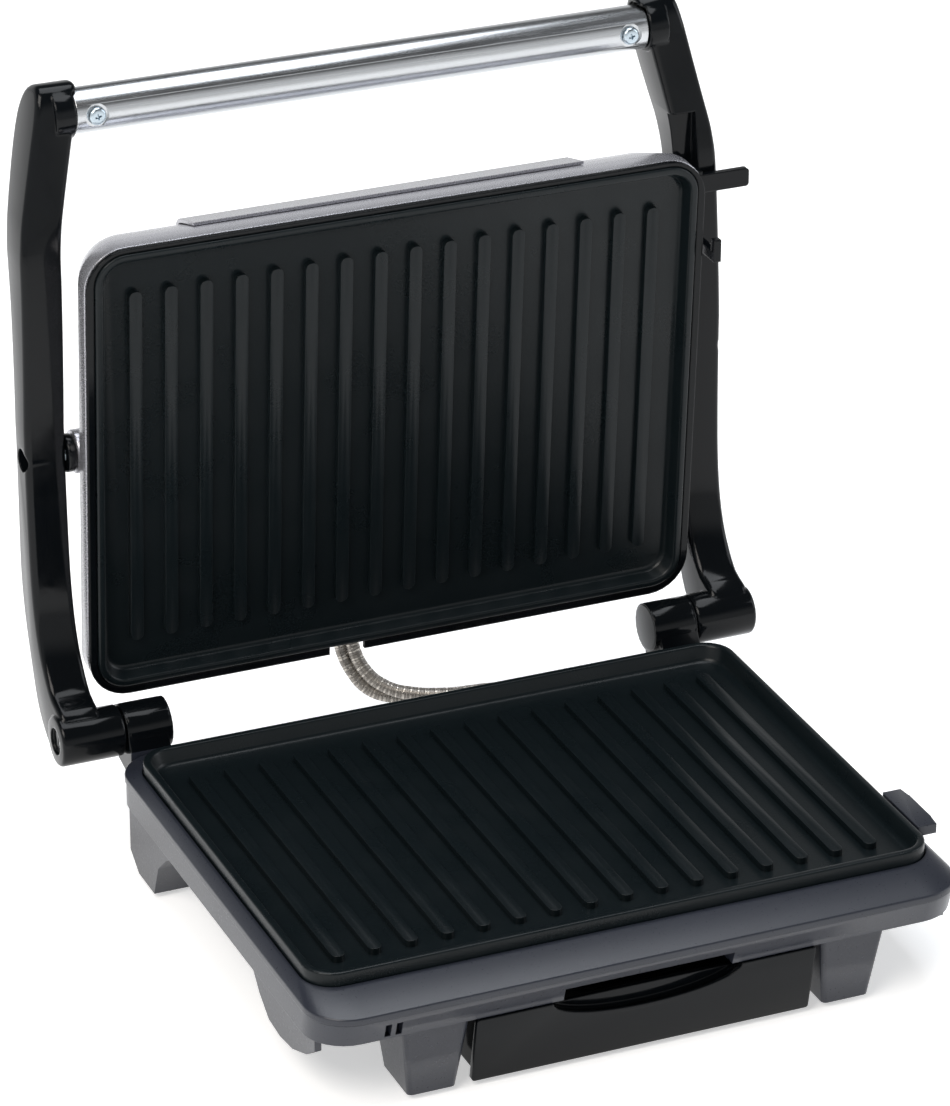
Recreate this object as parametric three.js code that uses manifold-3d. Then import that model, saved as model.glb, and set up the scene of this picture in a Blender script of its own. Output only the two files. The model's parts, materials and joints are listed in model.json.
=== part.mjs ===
// Panini press: two ribbed cooking plates, an open lid on two swinging arms, a drip tray and a lid latch.
// Millimetres, +Z up, -Y is the front, X = 0 is the middle of the plates.
// The working frame has Y = 0 at the middle of the lower plate and Z = 0 on the worktop;
// the last lines move the whole press so that the origin is at the middle of its footprint.
import * as THREE from "three";
import { mergeVertices } from "three/addons/utils/BufferGeometryUtils.js";
import Module from "manifold-3d";

const wasm = await Module();
wasm.setup();

// ---- driving dimensions -------------------------------------------------------------------

const gap = 0.3; // between pieces that touch
const run = 0.5; // between pieces that move past each other
const fit = 0.1; // round a pin in its bore
const wall = 2.5; // moulded walls

// cooking plates
const plateWidth = 244;
const plateDepth = 183;
const plateCorner = 12;
const plateRim = 6.5; // rim above the plate's floor
const rimThick = 3;
const plateFloor = 3;
const ribPitch = 14;
const ribWidth = 5;
const ribHeight = 2.5;
const ribSide = 17; // plate's side to the first rib's middle
const ribMargin = 17.5; // plate's front and rear edge to the ribs' ends
const drainWidth = 34;
const drainDepth = 5;
const screwInsetX = 30;
const screwInsetY = 29.5;
const plateScrewHead = 3.8;
const plateScrewShank = 1.8;
const bossLength = 3.2;
const elementRadius = 3.2;
const shieldInsetX = 38;
const shieldInsetY = 15.5;
const sheetThick = 0.5;

// base
const rimTop = 51; // lower plate's rim above the worktop
const ledgeRise = 5; // rim above the frame's inner edge
const ledgeSide = 5; // width of the ledge beside the plate
const ledgeFront = 18.5;
const ledgeRear = 11.5;
const baseCorner = 17;
const ledgeDrop = 3.4; // fall of the ledge to its outer edge
const ledgeEdge = 2.5;
const tubDrop = 18.8; // tub's floor below the plate's rim
const tubFloor = 2;
const skirtInset = 3.5; // skirts stand in from the tub's wall
const skirtDrop = 2.7; // skirts below the tub
const cheekBottom = 12; // the skirt hangs lower beside the front legs
const legTopWidth = 26;
const legFootWidth = 18.5;
const legToTray = 16;
const legDepth = 28;
const legRake = 4.5; // the legs' front face leans in
const rearFootWidth = 14;
const padThick = 1.6;
const padRadius = 5.5;
const inletX = -50;
const inletRadius = 3.6;
const inletBore = 2.8;
const earLength = 29;
const earReach = 4.5; // past the side of the frame
const earThick = 4;
const earDrop = 0.5; // below the plate's rim

// hinge of the arms
const hingeBehind = 12.4; // behind the base
const hingeDrop = 2.7; // below the lower plate's rim
const knuckleRadius = 9.8;
const knuckleLength = 18;
const hubInset = 8.3; // hub's inner face inside the arm's
const hubProud = 1.2; // hub's outer face outside the arm's
const pinRadius = 4;

// arms and handle
const armClear = 0.8; // between the base and the arms
const armThick = 16;
const pivotBehind = 31.5; // lid's pivots behind the hinge
const pivotClear = 12.1; // hinge to the lowered lid plate's rear edge, along the arm
const shankRise = 13.1; // the arms start to lean in this far above the pivots
const shankSlope = 0.03;
const elbowDrop = 44.5; // elbows below the handle
const elbowSlope = 0.224;
const handleBehind = 46;
const handleRise = 37.7; // handle's axis above the standing lid plate
const handleRadius = 8.7;
const handleWall = 1.2;
const handleScrewInset = 8.2;
const screwHead = 3.5;

// lid, in its own frame: origin on the pivots, z along the plate, y away from the food
const lidLean = 3.45; // degrees, the top leans to the front
const lidRim = -22.8; // rim plane of the upper plate
const lidPlateZ = -1.4; // middle of the plate along the lid
const coverFront = -20;
const coverBack = 7.5;
const coverSide = 3.5; // cover beyond the plate at the sides
const coverEnd = 2; // cover beyond the plate at the top and bottom
const coverDraft = 6; // each side leans in over the cover's depth
const coverRound = 4; // rounding of the back edge
const coverCorner = 16;
const coverWall = 1.6;
const panelSide = 46.5; // side of the cover to the panel
const panelRaise = 1.2;
const panelLip = -10; // how far the panel turns over the top, towards the front
const frameFront = -22;
const frameDrop = 1.4; // the ring hangs below the cover
const bushRadius = 7.4;
const bushLength = 3.2;
const pivotBore = 3.2;
const pivotWell = 4.6; // a shallow round recess in the arm's outer face, over the screw
const lampX = [-12, 12];
const lampDrop = 31.5; // lamps below the cover's top
const lampRadius = 3.8;
const mouthLeft = -27;
const mouthRight = -8;
const notchLeft = -27;
const notchRight = -12.5;
const screwWell = 2.7;
const lidReflector = -4.6;

// drip tray
const trayWidth = 131;
const trayLength = 128;
const trayBelow = 0.5; // tray's top below the tub
const trayBottom = 2;
const trayBack = 3; // tray's face behind the base's front edge
const trayRake = 5;
const trayWall = 2;
const scoopWidth = 74;
const scoopDepth = 9;
const scoopReach = 13;

// latch, on the right arm
const notchWidth = 5.8;
const notchBehind = 35.6; // notch's rear wall behind the hinge
const notchLength = 53.5;
const notchAbove = 11.5; // notch's top above the elbow
const latchLift = 3; // latch's foot above the notch's
const latchLength = 29;
const hookRise = 9;
const tabRise = 20;
const tabHeight = 7.4;
const tabReach = 24.8;
const hookBehind = 2.2; // hook's tip behind the hinge
const hookClear = 1.7; // between the lowered hook and the ear

// wires' steel sleeves
const sleeveRadius = 2.65;
const sleeveX = [43, 49.3]; // where they enter the base's rear wall

// ---- worked-out places ---------------------------------------------------------------------

const ribCount = Math.floor((plateWidth - 2 * ribSide) / ribPitch) + 1;
const ribLength = plateDepth - 2 * ribMargin;
const plateBottom = rimTop - plateRim - plateFloor;
const plateTurn = [[-1, -1], [1, -1], [1, 1], [-1, 1]];
const screwX = plateWidth / 2 - screwInsetX;
const screwY = plateDepth / 2 - screwInsetY;
const shieldWidth = plateWidth - 2 * shieldInsetX;
const shieldDepth = plateDepth - 2 * shieldInsetY;

const ledgeInner = rimTop - ledgeRise;
const ledgeOuter = ledgeInner - ledgeDrop;
const baseWidth = plateWidth + 2 * ledgeSide;
const baseFront = -plateDepth / 2 - ledgeFront;
const baseRear = plateDepth / 2 + ledgeRear;
const baseMiddle = (baseFront + baseRear) / 2;
const baseDepth = baseRear - baseFront;
const tubFloorTop = rimTop - tubDrop;
const tubBottom = tubFloorTop - tubFloor;
const skirtBottom = tubBottom - skirtDrop;
const housingTop = ledgeOuter - ledgeEdge - gap;
const legFootX = trayWidth / 2 + legToTray;
const padFrontY = baseFront + 8 + (legDepth - 4) / 2;
const padRearX = baseWidth / 2 - skirtInset - 7.5;
const padRearY = baseRear - 26;
const inletZ = tubFloorTop + inletRadius - 0.2;
const sleeveZ = tubFloorTop + sleeveRadius + 0.95;

const hingeY = baseRear + hingeBehind;
const hingeZ = rimTop - hingeDrop;
const armInner = baseWidth / 2 + armClear;
const armOuter = armInner + armThick;
const hubInner = armInner - hubInset;
const hubOuter = armOuter + hubProud;
const knuckleInner = hubInner - run - knuckleLength;
const pivotY = hingeY + pivotBehind;
const pivotZ = hingeZ + plateDepth / 2 + pivotClear;
const handleY = hingeY + handleBehind;
const handleZ = pivotZ + lidPlateZ + plateDepth / 2 + handleRise + 2.8;
const shankZ = pivotZ + shankRise;
const elbowZ = handleZ - elbowDrop;

// How far an arm leans in: not at all low down, a little from the lid's pivots up, more above the elbow.
const lean = (z) => elbowSlope * Math.max(0, z - elbowZ) + shankSlope * Math.max(0, Math.min(z, elbowZ) - shankZ);

const handleEnd = armInner - lean(handleZ) + 0.36;
const handleScrewX = handleEnd - handleScrewInset;

const lidPlateBack = lidRim + plateRim + plateFloor;
const lidBossEnd = lidPlateBack + bossLength;
const coverWidth = plateWidth + 2 * coverSide;
const coverHeight = plateDepth + 2 * coverEnd;
const coverBottom = lidPlateZ - coverHeight / 2;
const panelWidth = coverWidth - 2 * panelSide;
const lampZ = coverHeight / 2 - lampDrop;
const padFace = armInner - gap - bushLength - gap; // flat pads on the cover's sides, from the middle

const trayTop = tubBottom - trayBelow;
const trayFront = baseFront + trayBack;
const spoutLength = plateBottom - trayTop + 3;

const notchBack = hingeY + notchBehind;
const notchHigh = elbowZ + notchAbove;
const notchLow = notchHigh - notchLength;
const latchLow = notchLow + latchLift;
const latchHigh = latchLow + latchLength;
const tabLow = latchLow + tabRise;
const hookTip = hingeY + hookBehind;
const earTop = rimTop - earDrop;
const earY = hingeY - (latchLow + hookRise - hingeZ) - hookClear - earLength / 2;

// ---- small solid-making tools ----------------------------------------------------------------

function solid(geometry) {
  const flat = geometry.index ? geometry.toNonIndexed() : geometry.clone();
  const bare = new THREE.BufferGeometry();
  bare.setAttribute("position", flat.getAttribute("position"));
  const merged = mergeVertices(bare, 1e-4);
  return new wasm.Manifold(new wasm.Mesh({
    numProp: 3,
    vertProperties: merged.attributes.position.array,
    triVerts: new Uint32Array(merged.index.array),
  }));
}

function geometryOf(body) {
  const mesh = body.getMesh();
  const geometry = new THREE.BufferGeometry();
  geometry.setAttribute("position", new THREE.BufferAttribute(new Float32Array(mesh.vertProperties), 3));
  geometry.setIndex(new THREE.BufferAttribute(new Uint32Array(mesh.triVerts), 1));
  geometry.computeVertexNormals();
  return geometry;
}

const joined = (...bodies) => bodies.reduce((sum, body) => sum.add(body));
const cut = (body, ...tools) => tools.reduce((rest, tool) => rest.subtract(tool), body);

function box(x0, x1, y0, y1, z0, z1) {
  const geometry = new THREE.BoxGeometry(x1 - x0, y1 - y0, z1 - z0);
  geometry.translate((x0 + x1) / 2, (y0 + y1) / 2, (z0 + z1) / 2);
  return solid(geometry);
}

function roundedRect(width, depth, corner, middleY = 0) {
  const x = width / 2;
  const y = depth / 2;
  const shape = new THREE.Shape();
  shape.moveTo(-x + corner, middleY - y);
  shape.lineTo(x - corner, middleY - y);
  shape.absarc(x - corner, middleY - y + corner, corner, -Math.PI / 2, 0);
  shape.lineTo(x, middleY + y - corner);
  shape.absarc(x - corner, middleY + y - corner, corner, 0, Math.PI / 2);
  shape.lineTo(-x + corner, middleY + y);
  shape.absarc(-x + corner, middleY + y - corner, corner, Math.PI / 2, Math.PI);
  shape.lineTo(-x, middleY - y + corner);
  shape.absarc(-x + corner, middleY - y + corner, corner, Math.PI, 1.5 * Math.PI);
  return shape;
}

// A flat shape in XY raised from z0 to z1.
function slab(shape, z0, z1, curveSegments = 4) {
  const geometry = new THREE.ExtrudeGeometry(shape, { depth: z1 - z0, bevelEnabled: false, curveSegments });
  geometry.translate(0, 0, z0);
  return solid(geometry);
}

// Two outlines with the same points, joined from z0 to z1: a slab whose walls lean.
function loft(lower, upper, z0, z1, curveSegments = 4) {
  const geometry = new THREE.ExtrudeGeometry(lower, { depth: 1, bevelEnabled: false, curveSegments });
  const from = lower.getPoints(curveSegments);
  const to = upper.getPoints(curveSegments);
  const position = geometry.attributes.position;
  for (let i = 0; i < position.count; i += 1) {
    const top = position.getZ(i) > 0.5;
    if (top) {
      const at = from.findIndex((p) => Math.hypot(p.x - position.getX(i), p.y - position.getY(i)) < 1e-4);
      position.setXY(i, to[at].x, to[at].y);
    }
    position.setZ(i, top ? z1 : z0);
  }
  return solid(geometry);
}

// An outline given as [y, z] points, extruded along X.
function profile(points, x0, x1) {
  const shape = points instanceof THREE.Shape ? points : new THREE.Shape(points.map(([y, z]) => new THREE.Vector2(y, z)));
  const geometry = new THREE.ExtrudeGeometry(shape, { depth: x1 - x0, bevelEnabled: false, curveSegments: 6 });
  const turn = new THREE.Matrix4().makeBasis(
    new THREE.Vector3(0, 1, 0), new THREE.Vector3(0, 0, 1), new THREE.Vector3(1, 0, 0));
  geometry.applyMatrix4(turn);
  geometry.translate(x0, 0, 0);
  return solid(geometry);
}

function rod(radius, from, to, sides = 20) {
  const a = new THREE.Vector3(...from);
  const b = new THREE.Vector3(...to);
  const geometry = new THREE.CylinderGeometry(radius, radius, a.distanceTo(b), sides);
  const along = b.clone().sub(a).normalize();
  geometry.applyQuaternion(new THREE.Quaternion().setFromUnitVectors(new THREE.Vector3(0, 1, 0), along));
  const middle = a.add(b).multiplyScalar(0.5);
  geometry.translate(middle.x, middle.y, middle.z);
  return solid(geometry);
}

function tubeAlong(points, radius, sides, steps) {
  const path = new THREE.CatmullRomCurve3(points.map((p) => new THREE.Vector3(...p)));
  const ring = new THREE.Shape();
  for (let i = 0; i < sides; i += 1) {
    const turn = (2 * Math.PI * i) / sides;
    const place = [radius * Math.cos(turn), radius * Math.sin(turn)];
    if (i === 0) ring.moveTo(...place);
    else ring.lineTo(...place);
  }
  return solid(new THREE.ExtrudeGeometry(ring, { extrudePath: path, steps, bevelEnabled: false }));
}

const press = new THREE.Group();
const lid = new THREE.Group();
lid.position.set(0, pivotY, pivotZ);
lid.rotation.x = THREE.MathUtils.degToRad(lidLean);
press.add(lid);

function add(name, body, look, group = press) {
  const mesh = new THREE.Mesh(geometryOf(body), look);
  mesh.name = name;
  group.add(mesh);
  return mesh;
}

const look = (color, roughness, metalness) => new THREE.MeshStandardMaterial({ color, roughness, metalness });
const glossBlack = look(0x14171a, 0.25, 0);
const slatePlastic = look(0x4b4f5a, 0.3, 0);
const coating = look(0x1c2126, 0.45, 0.2);
const steel = look(0xcfcfcf, 0.25, 1);
const silverPaint = look(0xc9c8cc, 0.35, 0.6);
const panelPaint = look(0xa8a7ab, 0.35, 0.7);
const zinc = look(0x9fb4bd, 0.3, 1);
const rubber = look(0x1a1a1a, 0.8, 0);
const heaterSteel = look(0x6a6560, 0.5, 1);
const ceramic = look(0xd8d2c4, 0.7, 0);
const redLens = look(0xb02018, 0.2, 0);
const greenLens = look(0x1f8a3a, 0.2, 0);

// ---- cooking plates --------------------------------------------------------------------------

// A plate lying flat: rim up, with its rim plane at z = 0 and its middle at x = y = 0.
function ribbedPlate() {
  const outline = roundedRect(plateWidth, plateDepth, plateCorner);
  const inner = roundedRect(plateWidth - 2 * rimThick - 3, plateDepth - 2 * rimThick - 3, plateCorner - rimThick);
  const innerTop = roundedRect(plateWidth - 2 * rimThick, plateDepth - 2 * rimThick, plateCorner - rimThick);
  const pan = cut(
    slab(outline, -plateRim - plateFloor, 0),
    loft(inner, innerTop, -plateRim, 0.01),
  );
  const first = -((ribCount - 1) / 2) * ribPitch;
  const end = ribLength / 2 - ribWidth / 2;
  const ribs = [];
  for (let i = 0; i < ribCount; i += 1) {
    const x = first + i * ribPitch;
    const foot = new THREE.Shape();
    foot.absarc(0, end, ribWidth / 2, 0, Math.PI);
    foot.absarc(0, -end, ribWidth / 2, Math.PI, 2 * Math.PI);
    const top = new THREE.Shape();
    top.absarc(0, end, ribWidth / 2 - 1.2, 0, Math.PI);
    top.absarc(0, -end, ribWidth / 2 - 1.2, Math.PI, 2 * Math.PI);
    const rib = loft(foot, top, -plateRim - 1, -plateRim + ribHeight, 2);
    ribs.push(rib.translate([x, 0, 0]));
  }
  return joined(pan, ...ribs);
}

function plateBosses(length) {
  const bosses = plateTurn.map(([sx, sy]) => rod(5, [sx * screwX, sy * screwY, -plateRim - plateFloor - length],
    [sx * screwX, sy * screwY, -plateRim - 1], 8));
  return bosses;
}

function bossHoles(length) {
  return plateTurn.map(([sx, sy]) => rod(2, [sx * screwX, sy * screwY, -plateRim - plateFloor - length - 1],
    [sx * screwX, sy * screwY, -plateRim - plateFloor + 0.5], 8));
}

function lowerPlate() {
  const frontFloor = -plateDepth / 2 + rimThick;
  const drainY = frontFloor + 1.5;
  const hole = box(-drainWidth / 2, drainWidth / 2, drainY, drainY + drainDepth, -plateRim - plateFloor - 20, 0);
  const spoutWall = 1.2;
  const spout = box(-drainWidth / 2 - spoutWall, drainWidth / 2 + spoutWall, drainY - spoutWall,
    drainY + drainDepth + spoutWall, -plateRim - plateFloor - spoutLength, -plateRim - 1);
  const body = cut(joined(ribbedPlate(), spout, ...plateBosses(bossLength)), hole, ...bossHoles(bossLength));
  return body.translate([0, 0, rimTop]);
}

// The heater: a tube bent in a U, with its cold ends towards the rear.
function element() {
  const half = shieldWidth / 2 - 6;
  const front = 20 - shieldDepth / 2;
  const rear = shieldDepth / 2 - 6;
  const bend = 22;
  const arc = Math.SQRT1_2 * bend;
  return tubeAlong([
    [-half, rear, 0], [-half, rear - 30, 0], [-half, 0, 0], [-half, front + bend, 0],
    [-half + bend - arc, front + bend - arc, 0], [-half + bend, front, 0], [0, front, 0], [half - bend, front, 0],
    [half - bend + arc, front + bend - arc, 0], [half, front + bend, 0], [half, 0, 0], [half, rear - 30, 0],
    [half, rear, 0],
  ], elementRadius, 6, 30);
}

// ---- base ------------------------------------------------------------------------------------

const spoutHalf = drainWidth / 2 + 1.2;
const spoutY = -plateDepth / 2 + rimThick + 0.3;

function baseFrame() {
  const edge = roundedRect(baseWidth, baseDepth, baseCorner, baseMiddle);
  const hole = roundedRect(plateWidth + 2 * run, plateDepth + 2 * run, plateCorner + run);
  const crest = roundedRect(plateWidth + 2 * run + 1, plateDepth + 2 * run + 1, plateCorner + run);
  const ledge = joined(
    slab(edge, ledgeOuter - ledgeEdge, ledgeOuter),
    loft(edge, crest, ledgeOuter - 0.01, ledgeInner),
  );
  const earRoot = earLength / 2;
  const ear = new THREE.Shape([
    [baseWidth / 2 - 4, earY - earRoot], [baseWidth / 2 + earReach, earY - earRoot + 5],
    [baseWidth / 2 + earReach, earY + earRoot - 5], [baseWidth / 2 - 4, earY + earRoot],
  ].map(([x, y]) => new THREE.Vector2(x, y)));
  const web = box(baseWidth / 2 - 4, baseWidth / 2 - 0.5, earY - earRoot, earY + earRoot, ledgeOuter - 1, earTop - 1);
  return cut(
    joined(ledge, slab(ear, earTop - earThick, earTop), web),
    slab(hole, ledgeOuter - ledgeEdge - 1, ledgeInner + 20),
  );
}

function frontLeg(side) {
  const foot = roundedRect(legFootWidth, legDepth - 4, 2, baseFront + 8 + (legDepth - 4) / 2);
  const top = roundedRect(legTopWidth, legDepth + 4, 2, baseFront + 8 - legRake + (legDepth + 4) / 2);
  return loft(foot, top, padThick + gap, tubFloorTop).translate([side * legFootX, 0, 0]);
}

function skirt(side) {
  const outer = baseWidth / 2 - skirtInset;
  const back = baseRear - 8.5;
  const front = baseFront + baseCorner - 3;
  const outline = [
    [back, tubFloorTop], [back, 8], [back - 9, padThick + gap], [back - 26, padThick + gap], [back - 31, 15],
    [back - 40, 23], [back - 48, skirtBottom], [front + 62, skirtBottom], [front + 54, 19],
    [front + 45, cheekBottom + 1], [front + 34, cheekBottom], [front + 22, cheekBottom + 1.5],
    [front + 8, cheekBottom + 7], [front, skirtBottom - 3], [front, tubFloorTop],
  ];
  const leg = [
    [back, tubFloorTop], [back, 8], [back - 9, padThick + gap], [back - 26, padThick + gap], [back - 31, 15],
    [back - 40, 23], [back - 44, tubFloorTop],
  ];
  const x = [side * outer, side * (outer - wall)].sort((a, b) => a - b);
  const legX = [side * (outer - 1), side * (outer - rearFootWidth)].sort((a, b) => a - b);
  return joined(profile(outline, ...x), profile(leg, ...legX));
}

function trayRail(side) {
  const x = [side * (trayWidth / 2 + 1.3), side * (trayWidth / 2 + 3.1)].sort((a, b) => a - b);
  const lip = [side * (trayWidth / 2 - 2.1), side * (trayWidth / 2 + 3.1)].sort((a, b) => a - b);
  const front = trayFront + 12;
  const back = trayFront + trayLength + 6;
  const lipTop = trayTop - 5.1;
  return joined(box(...x, front, back, lipTop - 2, tubFloorTop - 0.5), box(...lip, front, back, lipTop - 2, lipTop));
}

function knuckle(side) {
  const barrel = rod(knuckleRadius, [side * knuckleInner, hingeY, hingeZ], [side * (hubInner - run), hingeY, hingeZ], 20);
  const x = [side * (knuckleInner + 2), side * (hubInner - run)].sort((a, b) => a - b);
  const bracket = profile([
    [baseRear - 4, tubFloorTop - 1], [baseRear - 4, housingTop], [baseRear + gap, housingTop],
    [baseRear + gap, housingTop + 4], [hingeY - knuckleRadius + 1, hingeZ + 1], [hingeY, hingeZ], [hingeY + knuckleRadius - 0.6, hingeZ - 3],
    [hingeY + 4, tubFloorTop + 3], [baseRear - 1, tubFloorTop - 1],
  ], ...x);
  return joined(barrel, bracket);
}

function baseHousing() {
  const top = housingTop;
  const rimShape = roundedRect(baseWidth - 1, baseDepth - 1, baseCorner - 0.5, baseMiddle);
  const lowShape = roundedRect(baseWidth - 1, baseDepth - 4, baseCorner - 0.5, baseMiddle + 1.5);
  const hollow = roundedRect(baseWidth - 1 - 2 * wall, baseDepth - 4 - 2 * wall, baseCorner - wall, baseMiddle + 1.5);
  const tub = cut(loft(lowShape, rimShape, tubBottom, top), slab(hollow, tubFloorTop, top + 1));
  const posts = plateTurn.map(([sx, sy]) => rod(5, [sx * screwX, sy * screwY, tubBottom + 0.5],
    [sx * screwX, sy * screwY, plateBottom - bossLength - gap], 8));
  const postHoles = plateTurn.map(([sx, sy]) => rod(2.3, [sx * screwX, sy * screwY, 0],
    [sx * screwX, sy * screwY, plateBottom], 8));
  const pocketTop = tubBottom + 5.4;
  const pocketBlock = box(-scoopWidth / 2 - 2, scoopWidth / 2 + 2, baseFront + 4, baseFront + 14, tubBottom,
    pocketTop + 2.4);
  const pocket = box(4 - scoopWidth / 2, scoopWidth / 2 - 4, baseFront - 1, baseFront + 11.5, tubBottom - 1, pocketTop);
  const spoutHole = box(-spoutHalf - run, spoutHalf + run, spoutY - run, spoutY + drainDepth + 2.4 + run,
    tubBottom - 1, tubFloorTop + 1);
  const ventX = plateWidth / 2 - 27.5;
  const vents = [-ventX - 2.5, 2.5 - ventX, ventX - 2.5, ventX + 2.5]
    .map((x) => box(x - 1.6, x + 1.6, -30, 30, tubBottom - 1, tubFloorTop + 1));
  const sides = [-1, 1];
  const sleeveSlot = box(sleeveX[0] - 5, sleeveX[1] + 5, baseRear - 8, baseRear + 2, tubFloorTop + gap, ledgeOuter);
  const inletHole = rod(inletRadius + gap, [inletX, baseRear - 12, inletZ], [inletX, baseRear + 2, inletZ], 18);
  const pins = sides.map((side) => rod(pinRadius + fit, [side * (knuckleInner - 5), hingeY, hingeZ],
    [side * armInner, hingeY, hingeZ], 16));
  return cut(
    joined(tub, pocketBlock, ...posts, ...sides.map(frontLeg), ...sides.map(skirt), ...sides.map(trayRail),
      ...sides.map(knuckle)),
    pocket, spoutHole, ...vents, ...postHoles, ...pins, sleeveSlot, inletHole,
  );
}

// A thin heat shield with two stiffening folds, its underside at z = 0.
function reflector(width, depth) {
  const sheet = slab(roundedRect(width, depth, 8), 0, sheetThick);
  const fold = width / 2 - 4;
  const folds = [-1, 1].map((side) => box(side * fold - 0.4, side * fold + 0.4, -depth / 2 + 10, depth / 2 - 10,
    sheetThick / 2, 1.8));
  return joined(sheet, ...folds);
}

// A pan-head screw along +Z: its head hangs below z = 0 and its shank stands above.
function panScrew(head, shank, length) {
  return joined(rod(head, [0, 0, -2], [0, 0, 0], 12), rod(shank, [0, 0, -0.5], [0, 0, length], 8));
}

// The same with a cross recess in its head.
function crossScrew(head, shank, length) {
  const arm = head * 0.6;
  const recess = joined(box(-arm, arm, -0.5, 0.5, -2.1, -1), box(-0.5, 0.5, -arm, arm, -2.1, -1));
  return cut(panScrew(head, shank, length), recess);
}

function lowerPlateScrew([sx, sy]) {
  const reach = plateBottom - tubBottom + gap;
  return panScrew(plateScrewHead, plateScrewShank, reach).translate([sx * screwX, sy * screwY, tubBottom - gap]);
}

function thermostat() {
  const low = tubFloorTop + gap + sheetThick + gap;
  return rod(7, [0, 10, low], [0, 10, plateBottom - gap], 12);
}

function terminalBlock() {
  const low = tubFloorTop + gap;
  const rear = baseRear - 9;
  const holes = [-31, -25, -19].map((x) => rod(1.6, [x, rear - 11, low + 3.2], [x, rear + 1, low + 3.2], 10));
  return cut(box(-35, -15, rear - 10, rear, low, low + 6.5), ...holes);
}

function footPad(x, y) {
  return rod(padRadius, [x, y, 0], [x, y, padThick], 12);
}

function cordInlet() {
  const wallFace = baseRear - 0.5;
  const flange = rod(8.2, [inletX, wallFace + gap, inletZ], [inletX, wallFace + 2.6, inletZ], 18);
  const neck = rod(inletRadius, [inletX, wallFace - 8, inletZ], [inletX, wallFace + 1, inletZ], 18);
  const bore = rod(inletBore, [inletX, wallFace - 9, inletZ], [inletX, wallFace + 3, inletZ], 18);
  const trim = box(inletX - 10, inletX + 10, wallFace - 10, wallFace + 4, housingTop, inletZ + 10);
  return cut(joined(flange, neck), bore, trim);
}

function hingePin(side) {
  const shaft = rod(pinRadius, [side * knuckleInner, hingeY, hingeZ], [side * (hubOuter - 4), hingeY, hingeZ], 16);
  const head = rod(4.9, [side * (hubOuter - 5 + gap), hingeY, hingeZ], [side * (hubOuter - 1.5), hingeY, hingeZ], 16);
  return joined(shaft, head);
}

// ---- the lid wires' sleeves --------------------------------------------------------------------

function sleeve(points) {
  return tubeAlong(points, sleeveRadius, 8, 30);
}

// From inside the lid, out through its bottom and down behind the base, then in through the rear wall.
const frontSleeve = [
  [-14, 142.3, 70], [-14, 142.2, 62], [-13.6, 140.8, 52], [-10.5, 135, 42.2], [-4, 129, 36.6], [5, 123.5, 34.6],
  [16, 118.5, 34.4], [27, 114, 34.9], [36, 109, sleeveZ], [sleeveX[0] - 1.4, 103, sleeveZ],
  [sleeveX[0], 97, sleeveZ], [sleeveX[0], 90, sleeveZ],
];
const rearSleeve = [
  [-17.5, 147, 70], [-17.5, 146.8, 62], [-17.2, 145.5, 52], [-14.4, 140.6, 41], [-8.8, 135.4, 33.6], [0, 130.6, 30.8],
  [11.5, 126.2, 30.8], [24, 121.8, 31.8], [36, 116.6, 33.6], [45, 110, 35], [sleeveX[1] - 0.2, 104, sleeveZ],
  [sleeveX[1], 97, sleeveZ], [sleeveX[1], 90, sleeveZ],
];

function sleeveClamp() {
  const rear = baseRear - 6;
  const bores = sleeveX.map((x) => rod(sleeveRadius + gap, [x, rear - 7, sleeveZ], [x, rear + 1, sleeveZ], 12));
  return cut(box(sleeveX[0] - 4.5, sleeveX[1] + 4.5, rear - 6, rear, tubFloorTop + gap, sleeveZ + 3.6), ...bores);
}

// ---- drip tray ---------------------------------------------------------------------------------

// An outline given as [x, z] points, extruded along Y.
function frontal(shape, y0, y1) {
  const geometry = new THREE.ExtrudeGeometry(shape, { depth: y1 - y0, bevelEnabled: false, curveSegments: 8 });
  geometry.rotateX(Math.PI / 2);
  geometry.translate(0, y1, 0);
  return solid(geometry);
}

function scoopShape(grow) {
  const shape = new THREE.Shape();
  shape.absellipse(0, trayTop, scoopWidth / 2 + grow, scoopDepth + grow, 0, 2 * Math.PI);
  return shape;
}

function dripTray() {
  const bodyHalf = trayWidth / 2 - 2.7;
  const wallTop = trayTop - 3.1;
  const back = trayFront + trayLength;
  const face = profile([
    [trayFront + trayRake, trayBottom], [trayFront, trayTop], [trayFront + wall, trayTop],
    [trayFront + trayRake + wall, trayBottom],
  ], -trayWidth / 2, trayWidth / 2);
  const start = trayFront + 2;
  const pan = cut(
    box(-bodyHalf, bodyHalf, start, back, trayBottom + 1.5, wallTop),
    box(-bodyHalf + trayWall, bodyHalf - trayWall, start + trayRake + wall, back - trayWall, trayBottom + 3.5, trayTop),
  );
  const flanges = [-1, 1].map((side) => {
    const x = [side * (bodyHalf - 1), side * (bodyHalf + 3.5)].sort((a, b) => a - b);
    return box(...x, start + 10, back, wallTop - 1.6, wallTop);
  });
  const inFront = profile([
    [trayFront - 20, trayBottom - 1], [trayFront + trayRake, trayBottom - 1], [trayFront, trayTop],
    [trayFront, trayTop + 9], [trayFront - 20, trayTop + 9],
  ], -trayWidth, trayWidth);
  const scoop = frontal(scoopShape(0), trayFront - 5, trayFront + scoopReach);
  const bowl = frontal(scoopShape(trayWall), trayFront + 1, trayFront + scoopReach + trayWall)
    .intersect(box(-trayWidth, trayWidth, trayFront, back, trayBottom, wallTop + 1));
  return cut(joined(face, pan, ...flanges, bowl), inFront, scoop);
}

// ---- arms and handle ---------------------------------------------------------------------------

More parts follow.
